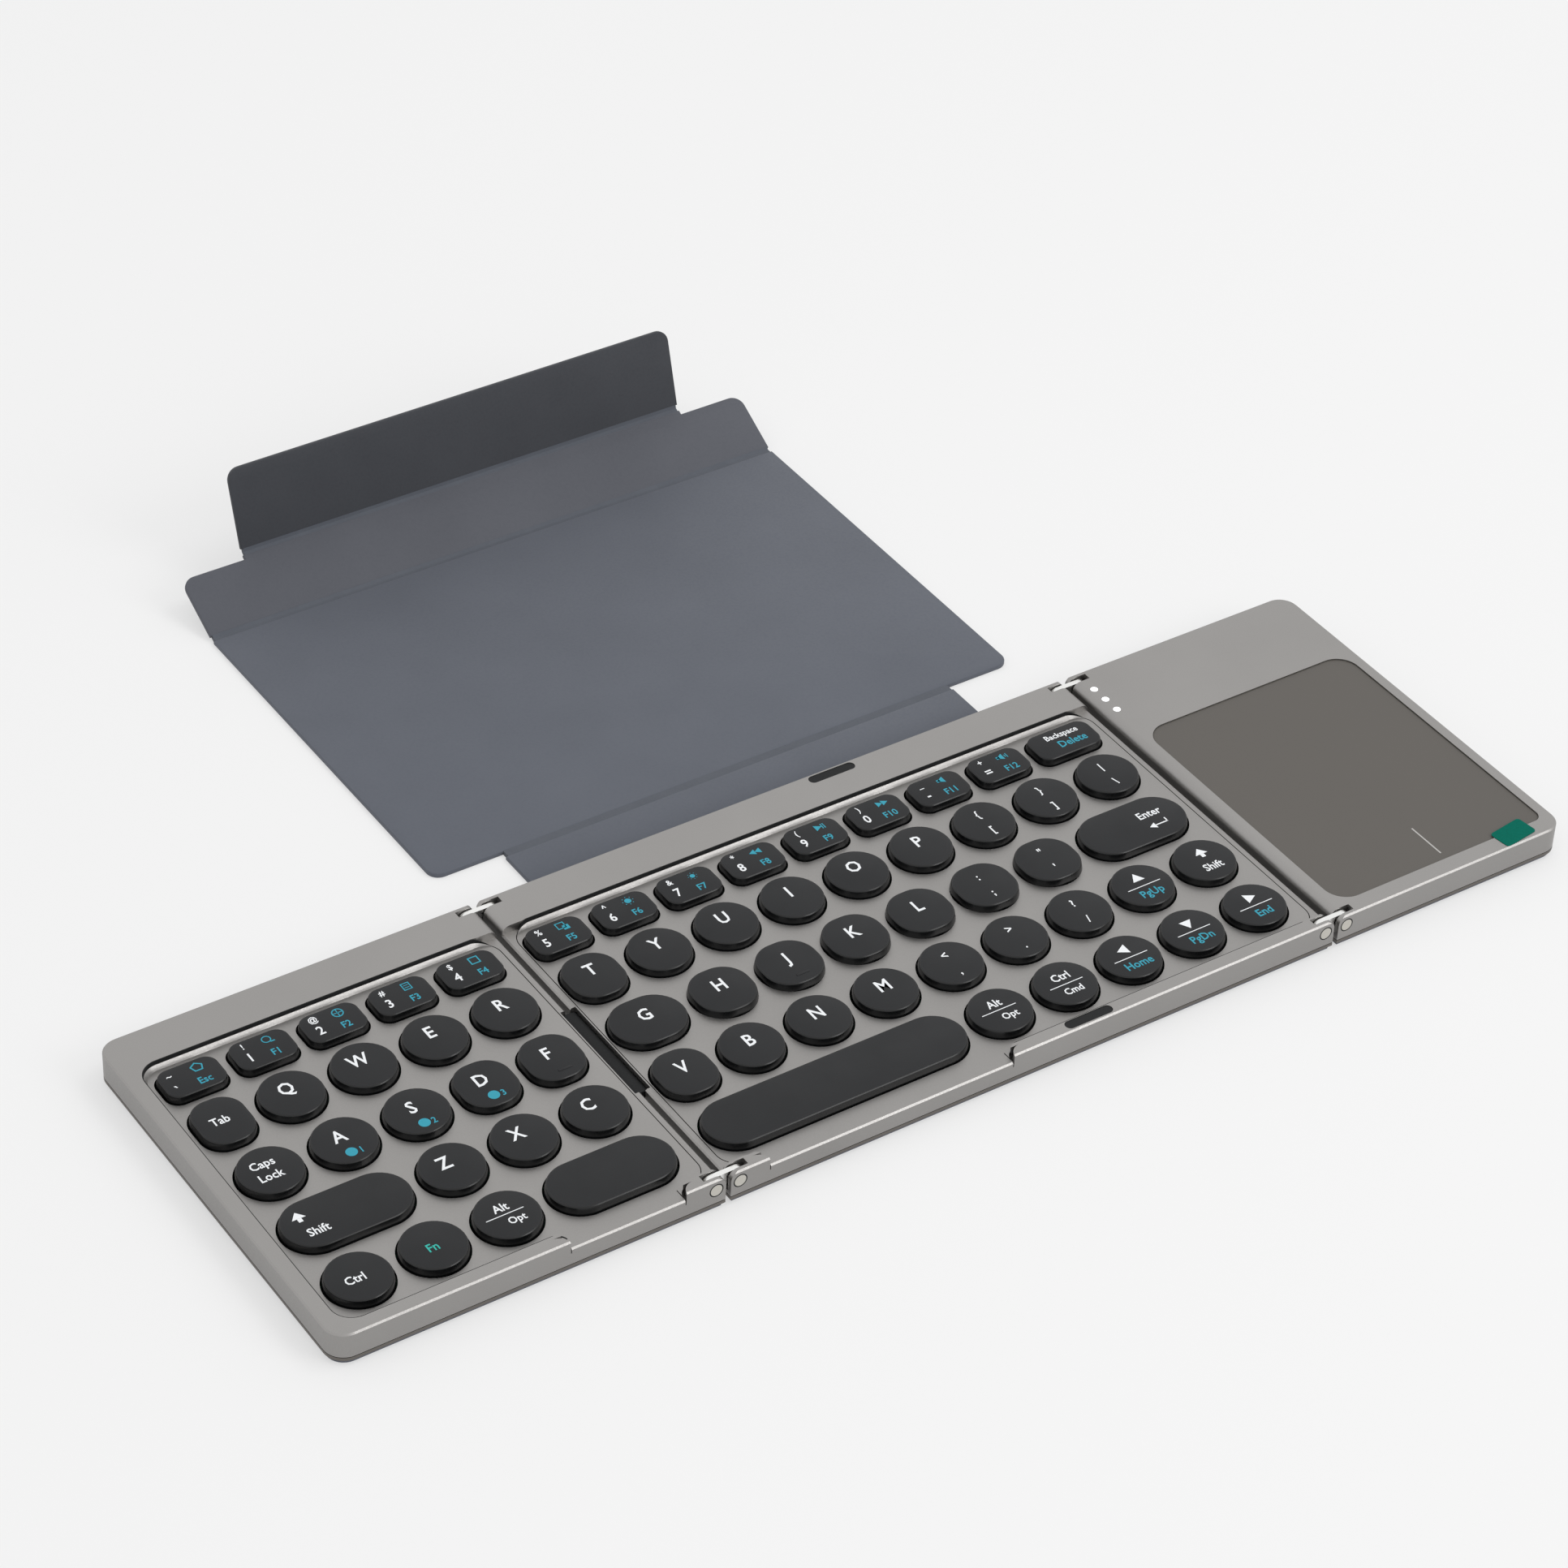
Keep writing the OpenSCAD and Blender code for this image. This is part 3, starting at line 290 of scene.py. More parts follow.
nodeFinish = {
    "frameMetal": ["middle_frame", "left_frame", "right_frame", "middle_plate", "left_plate"],
    # the trays take the darker metal: painted shade under the frames
    "trayMetalShaded": ["middle_tray", "left_tray", "right_tray"],
    "circuitBoard": ["middle_board", "left_board", "touch_board"],
    "linkSteel": ["left_links", "right_links"],
    "pinSteel": ["middle_pins", "left_pins", "right_pins"],
    "socketSteel": ["charging_port"],
    "blackRubberAndShade": ["cable_cover", "rim_pads"],
    "padGlass": ["touchpad"],
    "batteryFoil": ["battery"],
    "lightLens": ["indicator_lights"],
    "greenFilm": ["film_tab"],
}
for finish, names in nodeFinish.items():
    for name in names:
        mesh = nodes[name].data
        mesh.materials.clear()
        mesh.materials.append(materials[finish])


# --- piece helpers

def keepPiece(name, mesh, finishNames):
    for finish in finishNames:
        mesh.materials.append(materials[finish])
    piece = bpy.data.objects.new(name, mesh)
    bpy.context.scene.collection.objects.link(piece)
    return piece


def meshOf(bm, name, sharpAngle=35):
    # smooth shading, with edges over the angle kept sharp
    for face in bm.faces:
        face.smooth = True
    for edge in bm.edges:
        edge.smooth = len(edge.link_faces) == 2 and edge.calc_face_angle() < math.radians(sharpAngle)
    mesh = bpy.data.meshes.new(name)
    bm.to_mesh(mesh)
    bm.free()
    return mesh


def roundedFace(bm, width, depth, radii, z, segments=10):
    # one flat face with its corners rounded: radii for the front-left, front-right, back-right and back-left corners
    corners = [(-width / 2, -depth / 2), (width / 2, -depth / 2), (width / 2, depth / 2), (-width / 2, depth / 2)]
    made = [bm.verts.new((x, y, z)) for x, y in corners]
    face = bm.faces.new(made)
    for corner, radius in zip(made, radii):
        if radius > 0:
            bmesh.ops.bevel(bm, geom=[corner], offset=radius, offset_type="OFFSET", affect="VERTICES",
                            segments=segments, profile=0.5, material=-1)
    return max(bm.faces, key=lambda f: f.calc_area())


# --- key caps

capLook = {"draft": 0.3 * mm, "edge": 0.28 * mm, "plate": 6.1 * mm, "flat": 0.9 * mm, "numberRadius": 2.9 * mm,
           "wall": 1.6 * mm, "roof": 1.7 * mm, "homeBar": (3.2 * mm, 0.55 * mm, 0.12 * mm), "homeBarPlace": -4.3 * mm, "topShare": 0.97}


def keySpans(name):
    # where each key of a node lies along X, from the node's own triangles
    mesh = nodes[name].data
    spans = sorted((min(mesh.vertices[v].co.x for v in p.vertices), max(mesh.vertices[v].co.x for v in p.vertices))
                   for p in mesh.polygons)
    merged = [list(spans[0])]
    for low, high in spans[1:]:
        if low > merged[-1][1] + 0.5 * mm:
            merged.append([low, high])
        merged[-1][1] = max(merged[-1][1], high)
    return merged


def keyCap(bm, place, width, depth, foot, top):
    # a drafted cap with a soft top edge
    radius = min(width, depth) / 2
    if depth < 12 * mm:
        radius = capLook["numberRadius"]
    elif width < depth - 0.01 * mm:
        radius -= capLook["flat"]
    radius = min(radius, min(width, depth) / 2 - 0.02 * mm)
    cap = bmesh.new()
    face = roundedFace(cap, width, depth, [radius] * 4, foot)
    for height, inset in ((capLook["plate"], 0), (top, capLook["draft"])):
        grown = bmesh.ops.extrude_face_region(cap, geom=[face])["geom"]
        if face.is_valid and height == top:
            bmesh.ops.delete(cap, geom=[face], context="FACES_ONLY")
        face = [g for g in grown if isinstance(g, bmesh.types.BMFace)][0]
        for vert in face.verts:
            vert.co = Vector((vert.co.x * (1 - 2 * inset / width), vert.co.y * (1 - 2 * inset / depth), height))
    rim = list(face.edges)
    bmesh.ops.bevel(cap, geom=rim, offset=capLook["edge"], offset_type="OFFSET", affect="EDGES", segments=3,
                    profile=0.5, material=-1)
    bmesh.ops.recalc_face_normals(cap, faces=cap.faces)
    # every face but the flat top takes the side colour, glossier and painted darker: painted shade on the sides and the
    # soft edge
    for side in cap.faces:
        side.material_index = 0 if side.normal.z > capLook["topShare"] else 1
    bmesh.ops.translate(cap, verts=cap.verts, vec=(place[0], place[1], 0))
    shape = bpy.data.meshes.new("cap")
    cap.to_mesh(shape)
    cap.free()
    bm.from_mesh(shape)
    bpy.data.meshes.remove(shape)


def homeBar(bm, x, y, z):
    # the small ridge on the two keys under the pointing fingers
    length, width, height = capLook["homeBar"]
    made = bmesh.ops.create_cube(bm, size=1.0)["verts"]
    bmesh.ops.scale(bm, verts=made, vec=(length, width, 2 * height))
    bmesh.ops.bevel(bm, geom=list({e for v in made for e in v.link_edges}), offset=0.1 * mm, affect="EDGES",
                    segments=3, profile=0.5, material=-1)
    fresh = [v for v in bm.verts if v.co.length < length]
    bmesh.ops.translate(bm, verts=fresh, vec=(x, y, z))


keyNodes = [name for name in nodes if name.endswith("_key") or "_keys" in name]
keyPlaces = {}
for name in keyNodes:
    low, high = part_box(name)
    middleY = (low.y + high.y) / 2
    bm = bmesh.new()
    for start, end in keySpans(name):
        place = ((start + end) / 2, middleY)
        keyPlaces.setdefault(name, []).append(place)
        keyCap(bm, place, end - start, high.y - low.y, low.z, high.z)
    for homeNode, index in (("asdf_keys", 3), ("ghjkl_keys", 2)):
        if name == homeNode:
            x, y = keyPlaces[name][index]
            homeBar(bm, x + 0.4 * mm, y + capLook["homeBarPlace"], high.z)
    caps = keepPiece("caps_" + name, meshOf(bm, "caps_" + name), ["keyPlastic", "keySideGlossAndShade"])
    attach(caps, name)
    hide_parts(name)
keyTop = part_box("space_key")[1].z
print("key caps made:", len(keyNodes))


# --- legends, printed on the caps

legendLook = {"letter": 3.55 * mm, "word": 2.25 * mm, "minor": 1.95 * mm, "small": 1.75 * mm, "label": 1.95 * mm,
              "digit": 2.6 * mm, "thick": 0.02 * mm, "capShare": 0.73, "bold": 0.022, "narrow": 0.87, "weld": 0.0005 * mm}
white, teal, mint = 0, 1, 2


def letters(text, x=-0.4, y=1.6):
    return [[(c, white, "letter", x, y)] for c in text]


def arrowKey(shape, word):
    return [[(shape, white, "word", 0.15, 2.3), ("line", white, 8.4, 0.1, -0.35), (word, teal, "word", 0.4, -2.7)]]


def numberKey(symbol, digit, icon, word):
    return [(symbol, white, "small", -3.4, 2.65), (digit, white, "digit", -3.45, -0.9),
            (icon, teal, 2.9, 2.1, 2.0), (word, teal, "label", 2.05, -1.8)]


def stacked(upper, lower):
    return [(upper, white, "word", -0.1, 2.7), (lower, white, "word", -0.1, -3.0)]


legends = {
    "ctrl_key": [[("Ctrl", white, "word", -1.0, -0.3)]],
    "fn_key": [[("Fn", mint, "word", -0.5, -0.4)]],
    "alt_key": [[("Alt", white, "word", -0.4, 2.3), ("line", white, 8.4, -0.5, 0.15), ("Opt", white, "minor", 1.0, -1.9)]],
    "left_shift_key": [[("arrowUp", white, 2.7, -9.2, 2.6), ("Shift", white, "word", -7.4, -2.2)]],
    "zxc_keys": letters("ZXC", -1.0, 1.6),
    "caps_key": [[("Caps", white, "word", -0.8, 2.2), ("Lock", white, "word", -0.8, -1.6)]],
    "asdf_keys": [[(c, white, "letter", -0.6, 1.5)] + ([("dot", teal, 2.5, -0.5, -3.8), (n, teal, "small", 1.55, -4.0)] if n else [])
                  for c, n in zip("ASDF", ["1", "2", "3", ""])],
    "tab_key": [[("Tab", white, "word", -0.6, 0.2)]],
    "qwer_keys": letters("QWER", -0.4, 1.8),
    "escape_key": [[("~", white, "small", -4.1, 2.3), ("`", white, "digit", -4.2, -2.0), ("house", teal, 2.9, 2.1, 2.0),
                    ("Esc", teal, "label", 1.9, -1.9)]],
    "digit_keys_1_4": [numberKey("!", "1", "lens", "F1"), numberKey("@", "2", "globe", "F2"),
                       numberKey("#", "3", "sheet", "F3"), numberKey("$", "4", "square", "F4")],
    "option_key": [[("Alt", white, "word", -0.2, 2.3), ("line", white, 8.4, -0.3, 0.1), ("Opt", white, "minor", 0.9, -2.1)]],
    "command_key": [[("Ctrl", white, "word", 0.1, 2.2), ("line", white, 8.2, 0, -0.35), ("Cmd", white, "minor", 0.3, -2.5)]],
    "left_arrow_key": arrowKey("triangleLeft", "Home"),
    "down_arrow_key": arrowKey("triangleDown", "PgDn"),
    "right_arrow_key": arrowKey("triangleRight", "End"),
    "up_arrow_key": arrowKey("triangleUp", "PgUp"),
    "vbnm_keys": letters("VBNM", 0.1, 1.4) + [stacked("<", ","), stacked(">", "."), stacked("?", "/")],
    "right_shift_key": [[("arrowUp", white, 2.7, 0.6, 2.2), ("Shift", white, "word", 0.4, -2.4)]],
    "ghjkl_keys": letters("GHJKL", 0.0, 1.5) + [stacked(":", ";"), stacked("\"", "'")],
    "enter_key": [[("Enter", white, "word", 5.2, 1.6), ("return", white, 4.4, 5.4, -2.6)]],
    "tyuiop_keys": letters("TYUIOP", 0.1, 1.8),
    "bracket_keys": [stacked("{", "["), stacked("}", "]"), stacked("|", "\\")],
    "digit_keys_5_0": [numberKey("%", "5", "plain", "F5"), numberKey("^", "6", "sun", "F6"), numberKey("&", "7", "moon", "F7"),
                       numberKey("*", "8", "rewind", "F8"), numberKey("(", "9", "play", "F9"), numberKey(")", "0", "forward", "F10")],
    "minus_equals_keys": [numberKey("_", "-", "quiet", "F11"), numberKey("+", "=", "loud", "F12")],
    "backspace_key": [[("Backspace", white, "small", 0.6, 2.2), ("Delete", teal, "word", 1.6, -0.9)]],
}


def textShape(text, capHeight):
    # one word as a thin solid, centred on its own width and on the height of its capitals
    curve = bpy.data.curves.new("word", "FONT")
    curve.body = text
    curve.size = capHeight / legendLook["capShare"]
    curve.align_x = "CENTER"
    curve.offset = legendLook["bold"] * capHeight
    curve.extrude = legendLook["thick"] / 2
    curve.resolution_u = 2
    holder = bpy.data.objects.new("word", curve)
    bpy.context.scene.collection.objects.link(holder)
    bpy.context.view_layer.update()
    mesh = bpy.data.meshes.new_from_object(holder.evaluated_get(bpy.context.evaluated_depsgraph_get()))
    bpy.data.objects.remove(holder)
    bpy.data.curves.remove(curve)
    mesh.transform(Matrix.Translation((0, -capHeight / 2, legendLook["thick"] / 2)) @ Matrix.Diagonal((legendLook["narrow"], 1, 1, 1)))
    return mesh


def flatShape(bm, sides, radius, centre=(0, 0), turn=0.0, stretch=(1, 1), hole=0.0):
    # a thin polygon or disc, with a hole in it where one is asked for
    made = bmesh.ops.create_circle(bm, cap_ends=True, segments=sides, radius=radius)["verts"]
    bmesh.ops.rotate(bm, verts=made, cent=(0, 0, 0), matrix=Matrix.Rotation(turn, 3, "Z"))
    bmesh.ops.scale(bm, verts=made, vec=(stretch[0], stretch[1], 1))
    face = made[0].link_faces[0]
    if hole:
        face.normal_update()
        bmesh.ops.inset_region(bm, faces=[face], thickness=hole * radius, use_boundary=True, use_even_offset=True)
        bmesh.ops.delete(bm, geom=[face], context="FACES_ONLY")
        faces = [f for f in {f for v in made for f in v.link_faces}]
    else:
        faces = [face]
    verts = list({v for f in faces for v in f.verts})
    grown = bmesh.ops.extrude_face_region(bm, geom=faces)["geom"]
    raised = [g for g in grown if isinstance(g, bmesh.types.BMVert)]
    bmesh.ops.translate(bm, verts=raised, vec=(0, 0, legendLook["thick"]))
    bmesh.ops.translate(bm, verts=verts + raised, vec=(centre[0], centre[1], 0))


quarter = math.pi / 4
up, left, down, right = (k * math.pi / 2 for k in range(4))
root2 = math.sqrt(2)
# each sign is a list of flat shapes in shares of its size: sides, radius, centre, turn, stretch, ring width
signs = {
    "dot": [(24, 0.5, (0, 0), 0, (1, 1), 0)],
    "arrowUp": [(3, 0.62, (0, 0.1), up, (1.05, 0.75), 0), (4, 0.25, (0, -0.32), quarter, (1, 1.1), 0)],
    "triangleUp": [(3, 0.62, (0, 0), up, (1, 1), 0)],
    "triangleDown": [(3, 0.62, (0, 0), down, (1, 1), 0)],
    "triangleLeft": [(3, 0.62, (0, 0), left, (1, 1), 0)],
    "triangleRight": [(3, 0.62, (0, 0), right, (1, 1), 0)],
    "return": [(3, 0.24, (-0.38, 0), left, (1, 1), 0), (4, 0.05, (0.1, 0), quarter, (10.5, 1), 0),
               (4, 0.05, (0.44, 0.14), quarter, (1, 4), 0)],
    "house": [(5, 0.52, (0, 0), 0, (1, 0.95), 0.2)],
    "lens": [(20, 0.36, (-0.08, 0.08), 0, (1, 1), 0.22), (4, 0.1, (0.26, -0.26), -quarter, (2.4, 0.8), 0)],
    "globe": [(20, 0.45, (0, 0), 0, (1, 1), 0.2), (4, 0.05, (0, 0), quarter, (10, 1), 0), (4, 0.05, (0, 0), quarter, (1, 10), 0)],
    "sheet": [(4, 0.5, (0, 0), quarter, (0.95, 1.1), 0.16), (4, 0.04, (0, 0.12), quarter, (7, 1), 0),
              (4, 0.04, (0, -0.12), quarter, (7, 1), 0)],
    "square": [(4, 0.55, (0, 0), quarter, (1, 1), 0.18)],
    "plain": [(4, 0.5, (-0.1, 0.1), quarter, (1, 1), 0.16), (4, 0.35, (0.2, -0.2), quarter, (1, 1), 0)],
    "sun": [(16, 0.26, (0, 0), 0, (1, 1), 0)] + [(4, 0.05, (0.42 * math.cos(a * quarter), 0.42 * math.sin(a * quarter)),
                                                  a * quarter + quarter, (1, 1), 0) for a in range(8)],
    "moon": [(16, 0.2, (0, 0), 0, (1, 1), 0)] + [(4, 0.04, (0.34 * math.cos(a * quarter), 0.34 * math.sin(a * quarter)),
                                                   a * quarter + quarter, (1, 1), 0) for a in range(8)],
    "rewind": [(3, 0.34, (0.2, 0), left, (1, 1), 0), (3, 0.34, (-0.26, 0), left, (1, 1), 0)],
    "play": [(3, 0.38, (-0.14, 0), right, (1, 1), 0), (4, 0.06, (0.26, 0), quarter, (1, 6.5), 0), (4, 0.06, (0.44, 0), quarter, (1, 6.5), 0)],
    "forward": [(3, 0.34, (-0.2, 0), right, (1, 1), 0), (3, 0.34, (0.26, 0), right, (1, 1), 0)],
    "quiet": [(4, 0.2, (-0.3, 0), quarter, (1, 1), 0), (3, 0.4, (-0.02, 0), left, (1, 1), 0)],
    "loud": [(4, 0.2, (-0.36, 0), quarter, (1, 1), 0), (3, 0.4, (-0.1, 0), left, (1, 1), 0),
             (4, 0.05, (0.26, 0), quarter, (1, 4), 0), (4, 0.05, (0.42, 0), quarter, (1, 7), 0)],
}


def markShape(mark, size):
    if mark == "line":
        bm = bmesh.new()
        flatShape(bm, 4, 0.5 * root2 * mm, turn=quarter, stretch=(size, 0.2))
    elif mark in signs:
        bm = bmesh.new()
        for sides, radius, centre, turn, stretch, ring in signs[mark]:
            flatShape(bm, sides, radius * size * mm, (centre[0] * size * mm, centre[1] * size * mm), turn, stretch, ring)
    else:
        return textShape(mark, size)
    mesh = bpy.data.meshes.new("mark")
    bm.to_mesh(mesh)
    bm.free()
    return mesh


for name, keys in legends.items():
    bm = bmesh.new()
    for (x, y), marks in zip(keyPlaces[name], keys):
        for mark, ink, size, dx, dy in marks:
            if isinstance(size, str):
                size = legendLook[size] if mark not in signs else legendLook[size] / mm * 1.2
            shape = markShape(mark, size)
            shape.transform(Matrix.Translation((x + dx * mm, y + dy * mm, keyTop)))
            for polygon in shape.polygons:
                polygon.material_index = ink
            bm.from_mesh(shape)
            bpy.data.meshes.remove(shape)
    # a letter's front, back and side come apart from the font curve, so they are welded first
    bmesh.ops.remove_doubles(bm, verts=bm.verts, dist=legendLook["weld"])
    bmesh.ops.recalc_face_normals(bm, faces=bm.faces)
    mesh = bpy.data.meshes.new("legends_" + name)
    bm.to_mesh(mesh)
    bm.free()
    printed = keepPiece("legends_" + name, mesh, ["whiteInk", "tealInk", "mintInk"])
    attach(printed, name)
print("legends made:", len(legends))


# --- cover sheets and flap

sheetLook = {"thick": 1.2 * mm, "edge": 0.3 * mm, "corner": 3.0 * mm, "wingCorner": 3.9 * mm, "creaseReach": 1.7 * mm,
             "creaseGap": 0.9 * mm, "creaseThick": 1.08 * mm, "shoulder": 2.0 * mm}
flap = {"neckY": 49.9 * mm, "panelY": 66.6 * mm, "spineY": 166.4 * mm, "spineLong": 18.2 * mm, "tongueLong": 20.2 * mm,
        "neckWide": 117 * mm, "wide": 150.85 * mm, "tongueWide": 118 * mm, "creaseZ": 0.6 * mm,
        "spineAngle": math.radians(28), "tongueAngle": math.radians(73)}


def boardSheet(name, outline, radii, finishNames=("flapSheet",), place=Matrix.Identity(4)):
    # a stiff sheet: a flat outline with some corners rounded, made thick, its edges softened
    bm = bmesh.new()
    corners = [bm.verts.new((x, y, 0)) for x, y in outline]
    bm.faces.new(corners)
    for corner, radius in zip(corners, radii):
        if radius > 0:
            bmesh.ops.bevel(bm, geom=[corner], offset=radius, affect="VERTICES", segments=8, profile=0.5, material=-1)
    face = bm.faces[:][0] if len(bm.faces) == 1 else max(bm.faces, key=lambda f: f.calc_area())
    grown = bmesh.ops.extrude_face_region(bm, geom=[face])["geom"]
    raised = [g for g in grown if isinstance(g, bmesh.types.BMVert)]
    bmesh.ops.translate(bm, verts=raised, vec=(0, 0, sheetLook["thick"]))
    bmesh.ops.recalc_face_normals(bm, faces=bm.faces)
    rims = [e for e in bm.edges if e.calc_face_angle() > math.radians(60) and abs(e.verts[0].co.z - e.verts[1].co.z) < 1e-7]
    bmesh.ops.bevel(bm, geom=rims, offset=sheetLook["edge"], affect="EDGES", segments=3, profile=0.5, material=-1)
    bmesh.ops.transform(bm, matrix=place, verts=bm.verts)
    return keepPiece(name, meshOf(bm, name), finishNames)


def creaseStrip(name, wide, y, z, angleIn, angleOut):
    # the bare skin between two boards, bent from one board's direction to the other's
    reach, gap, thick = sheetLook["creaseReach"], sheetLook["creaseGap"], sheetLook["creaseThick"]
    bm = bmesh.new()
    bmesh.ops.create_grid(bm, x_segments=1, y_segments=14, size=1.0)
    for vert in bm.verts:
        along = vert.co.y * reach
        share = min(max((along + gap) / (2 * gap), 0), 1)
        middle = (angleIn + angleOut) / 2
        if along < 0:
            half = angleIn + (middle - angleIn) * share * 2 / 2
            step = Vector((0, math.cos(half), math.sin(half))) * along
        else:
            half = angleOut - (angleOut - middle) * (1 - share) * 2 / 2
            step = Vector((0, math.cos(half), math.sin(half))) * along
        vert.co = Vector((vert.co.x * wide / 2, y, z)) + step
    bmesh.ops.recalc_face_normals(bm, faces=bm.faces)
    bm.normal_update()
    for vert in bm.verts:
        vert.co -= vert.normal * thick / 2
    bmesh.ops.solidify(bm, geom=bm.faces[:], thickness=-thick)
    bmesh.ops.recalc_face_normals(bm, faces=bm.faces)
    # the strip takes the darker crease colour: painted shade in the fold
    strip = keepPiece(name, meshOf(bm, name), ["shadedCreaseSheet"])
    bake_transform(strip)
    return strip


def rectangle(x0, x1, y0, y1):
    return [(x0, y0), (x1, y0), (x1, y1), (x0, y1)]


gap = sheetLook["creaseGap"]
spineTurn = Matrix.Translation((0, flap["spineY"], flap["creaseZ"])) @ Matrix.Rotation(flap["spineAngle"], 4, "X") \
    @ Matrix.Translation((0, 0, -sheetLook["thick"] / 2))
tongueY = flap["spineY"] + flap["spineLong"] * math.cos(flap["spineAngle"])
tongueZ = flap["creaseZ"] + flap["spineLong"] * math.sin(flap["spineAngle"])
tongueTurn = Matrix.Translation((0, tongueY, tongueZ)) @ Matrix.Rotation(flap["tongueAngle"], 4, "X") \
    @ Matrix.Translation((0, 0, -sheetLook["thick"] / 2))

covers = {}
for name, corners in (("left_cover", (1, 0, 0, 1)), ("right_cover", (0, 1, 1, 0))):
    low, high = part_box(name)
    radii = [sheetLook["wingCorner"] * on for on in corners]
    covers[name] = boardSheet(name + "_sheet", rectangle(low.x, high.x, low.y, high.y), radii)
low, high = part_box("middle_cover")
neckHalf, neckEdge = flap["neckWide"] / 2, flap["neckY"] - gap
covers["middle_cover"] = boardSheet("middle_cover_sheet", [
    (low.x, low.y), (high.x, low.y), (high.x, -low.y), (neckHalf, -low.y), (neckHalf, neckEdge), (-neckHalf, neckEdge),
    (-neckHalf, -low.y), (low.x, -low.y)], [0] * 8)

half, tongueHalf = flap["wide"] / 2, flap["tongueWide"] / 2
r = sheetLook["corner"]
neckSheet = boardSheet("neck_sheet", rectangle(-neckHalf, neckHalf, flap["neckY"] + gap, flap["panelY"] - gap), [0] * 4)
panelSheet = boardSheet("panel_sheet", rectangle(-half, half, flap["panelY"] + gap, flap["spineY"] - gap), [r, r, 0, 0])
shoulderY = flap["spineLong"] - sheetLook["shoulder"]
# the spine board takes the darker cloth colour: painted shade of its tilt
shadedSpineSheet = boardSheet("spine_sheet", [
    (-half, gap), (half, gap), (half, shoulderY), (tongueHalf, shoulderY), (tongueHalf, flap["spineLong"] - gap),
    (-tongueHalf, flap["spineLong"] - gap), (-tongueHalf, shoulderY), (-half, shoulderY)],
    [0, 0, r, 0, 0, 0, 0, r], ["shadedSpineSheet"], spineTurn)
# the tongue board takes the darkest cloth colour: painted shade of the upright tongue
tongueSheet = boardSheet("tongue_sheet", rectangle(-tongueHalf, tongueHalf, gap, flap["tongueLong"]), [0, 0, r, r],
                         ["shadedTongueSheet"], tongueTurn)

strips = [
    creaseStrip("neck_crease", flap["neckWide"] - 1 * mm, flap["neckY"], flap["creaseZ"], 0, 0),
    creaseStrip("panel_crease", flap["neckWide"] - 1 * mm, flap["panelY"], flap["creaseZ"], 0, 0),
    creaseStrip("spine_crease", flap["wide"] - 1 * mm, flap["spineY"], flap["creaseZ"], 0, flap["spineAngle"]),
    creaseStrip("tongue_crease", flap["tongueWide"] - 1 * mm, tongueY, tongueZ, flap["spineAngle"], flap["tongueAngle"]),
]
flapPieces = [(covers["left_cover"], "left_wing", ["left_cover"]), (covers["right_cover"], "right_wing", ["right_cover"]),
              (covers["middle_cover"], "middle", ["middle_cover"]), (neckSheet, "neck", ["flap_neck"]),
              (panelSheet, "panel", ["flap_panel"]), (shadedSpineSheet, "spine", ["flap_spine"]),
              (tongueSheet, "tongue", ["flap_tongue", "tongue_magnets"])]
for piece, body, replaced in flapPieces:
    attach(piece, body)
    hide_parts(*replaced)


print("sheets and creases made")


# --- small marks

tickLook = {"x": 109.8 * mm, "front": 6.4 * mm, "back": 16.2 * mm, "wide": 0.35 * mm}
padLow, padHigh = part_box("touchpad")
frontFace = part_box("right_frame")[0].y
bm = bmesh.new()
flatShape(bm, 4, root2 / 2, turn=quarter, stretch=(tickLook["wide"], tickLook["back"] - tickLook["front"]))
bmesh.ops.recalc_face_normals(bm, faces=bm.faces)
bmesh.ops.translate(bm, verts=bm.verts, vec=(tickLook["x"], frontFace + (tickLook["front"] + tickLook["back"]) / 2, padHigh.z))
tick = keepPiece("touchpad_tick", meshOf(bm, "touchpad_tick"), ["greyInk"])
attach(tick, "touch_surface")


# --- trim of the frames: the key plates' turned-up edges, black strips behind them and rings round the pins, both painted shade of the gaps

lipLook = {"rim": 3.4 * mm, "radius": 4.6 * mm, "stepRadius": 2.8 * mm, "leftLow": 35.6 * mm, "middleLow": 68.4 * mm,
           "lip": [(0, 0), (0, 0.95), (0.12, 0.97), (0.22, 0.88), (0.62, 0.25), (0.8, 0)],
           # seal and line: black strips in the gaps behind the plates' edges, painted shade of the gaps
           "seal": [(-0.17, 0.2), (-0.17, 1.82), (0, 1.82), (0, 0.2)],
           "line": [(-0.15, 1.6), (-0.15, 1.82), (0.01, 1.82), (0.01, 1.6)]}


def cornerPath(centre, radius, start, end, shareIn=1, shareOut=1, inward=True, steps=8):
    # points on a round corner: place, direction to the plate, and the share of the full height there
    points = []
    for k in range(steps + 1):
        angle = math.radians(start + (end - start) * k / steps)
        away = Vector((math.cos(angle), math.sin(angle)))
        points.append((Vector(centre) + away * radius, -away if inward else away, shareIn + (shareOut - shareIn) * k / steps))
    return points


def sweepEdge(bm, path, profile, floor, finish):
    # a closed section swept along a path in plan, with both its ends closed
    rings = []
    for place, inside, share in path:
        rings.append([bm.verts.new((place.x + inside.x * d * share * mm, place.y + inside.y * d * share * mm,
                                    floor + z * share * mm)) for d, z in profile])
    made = [bm.faces.new(rings[0]), bm.faces.new(rings[-1])]
    for first, second in zip(rings, rings[1:]):
        for k in range(len(profile)):
            made.append(bm.faces.new((first[k], first[k - 1], second[k - 1], second[k])))
    for face in made:
        face.material_index = finish
    bmesh.ops.recalc_face_normals(bm, faces=made)


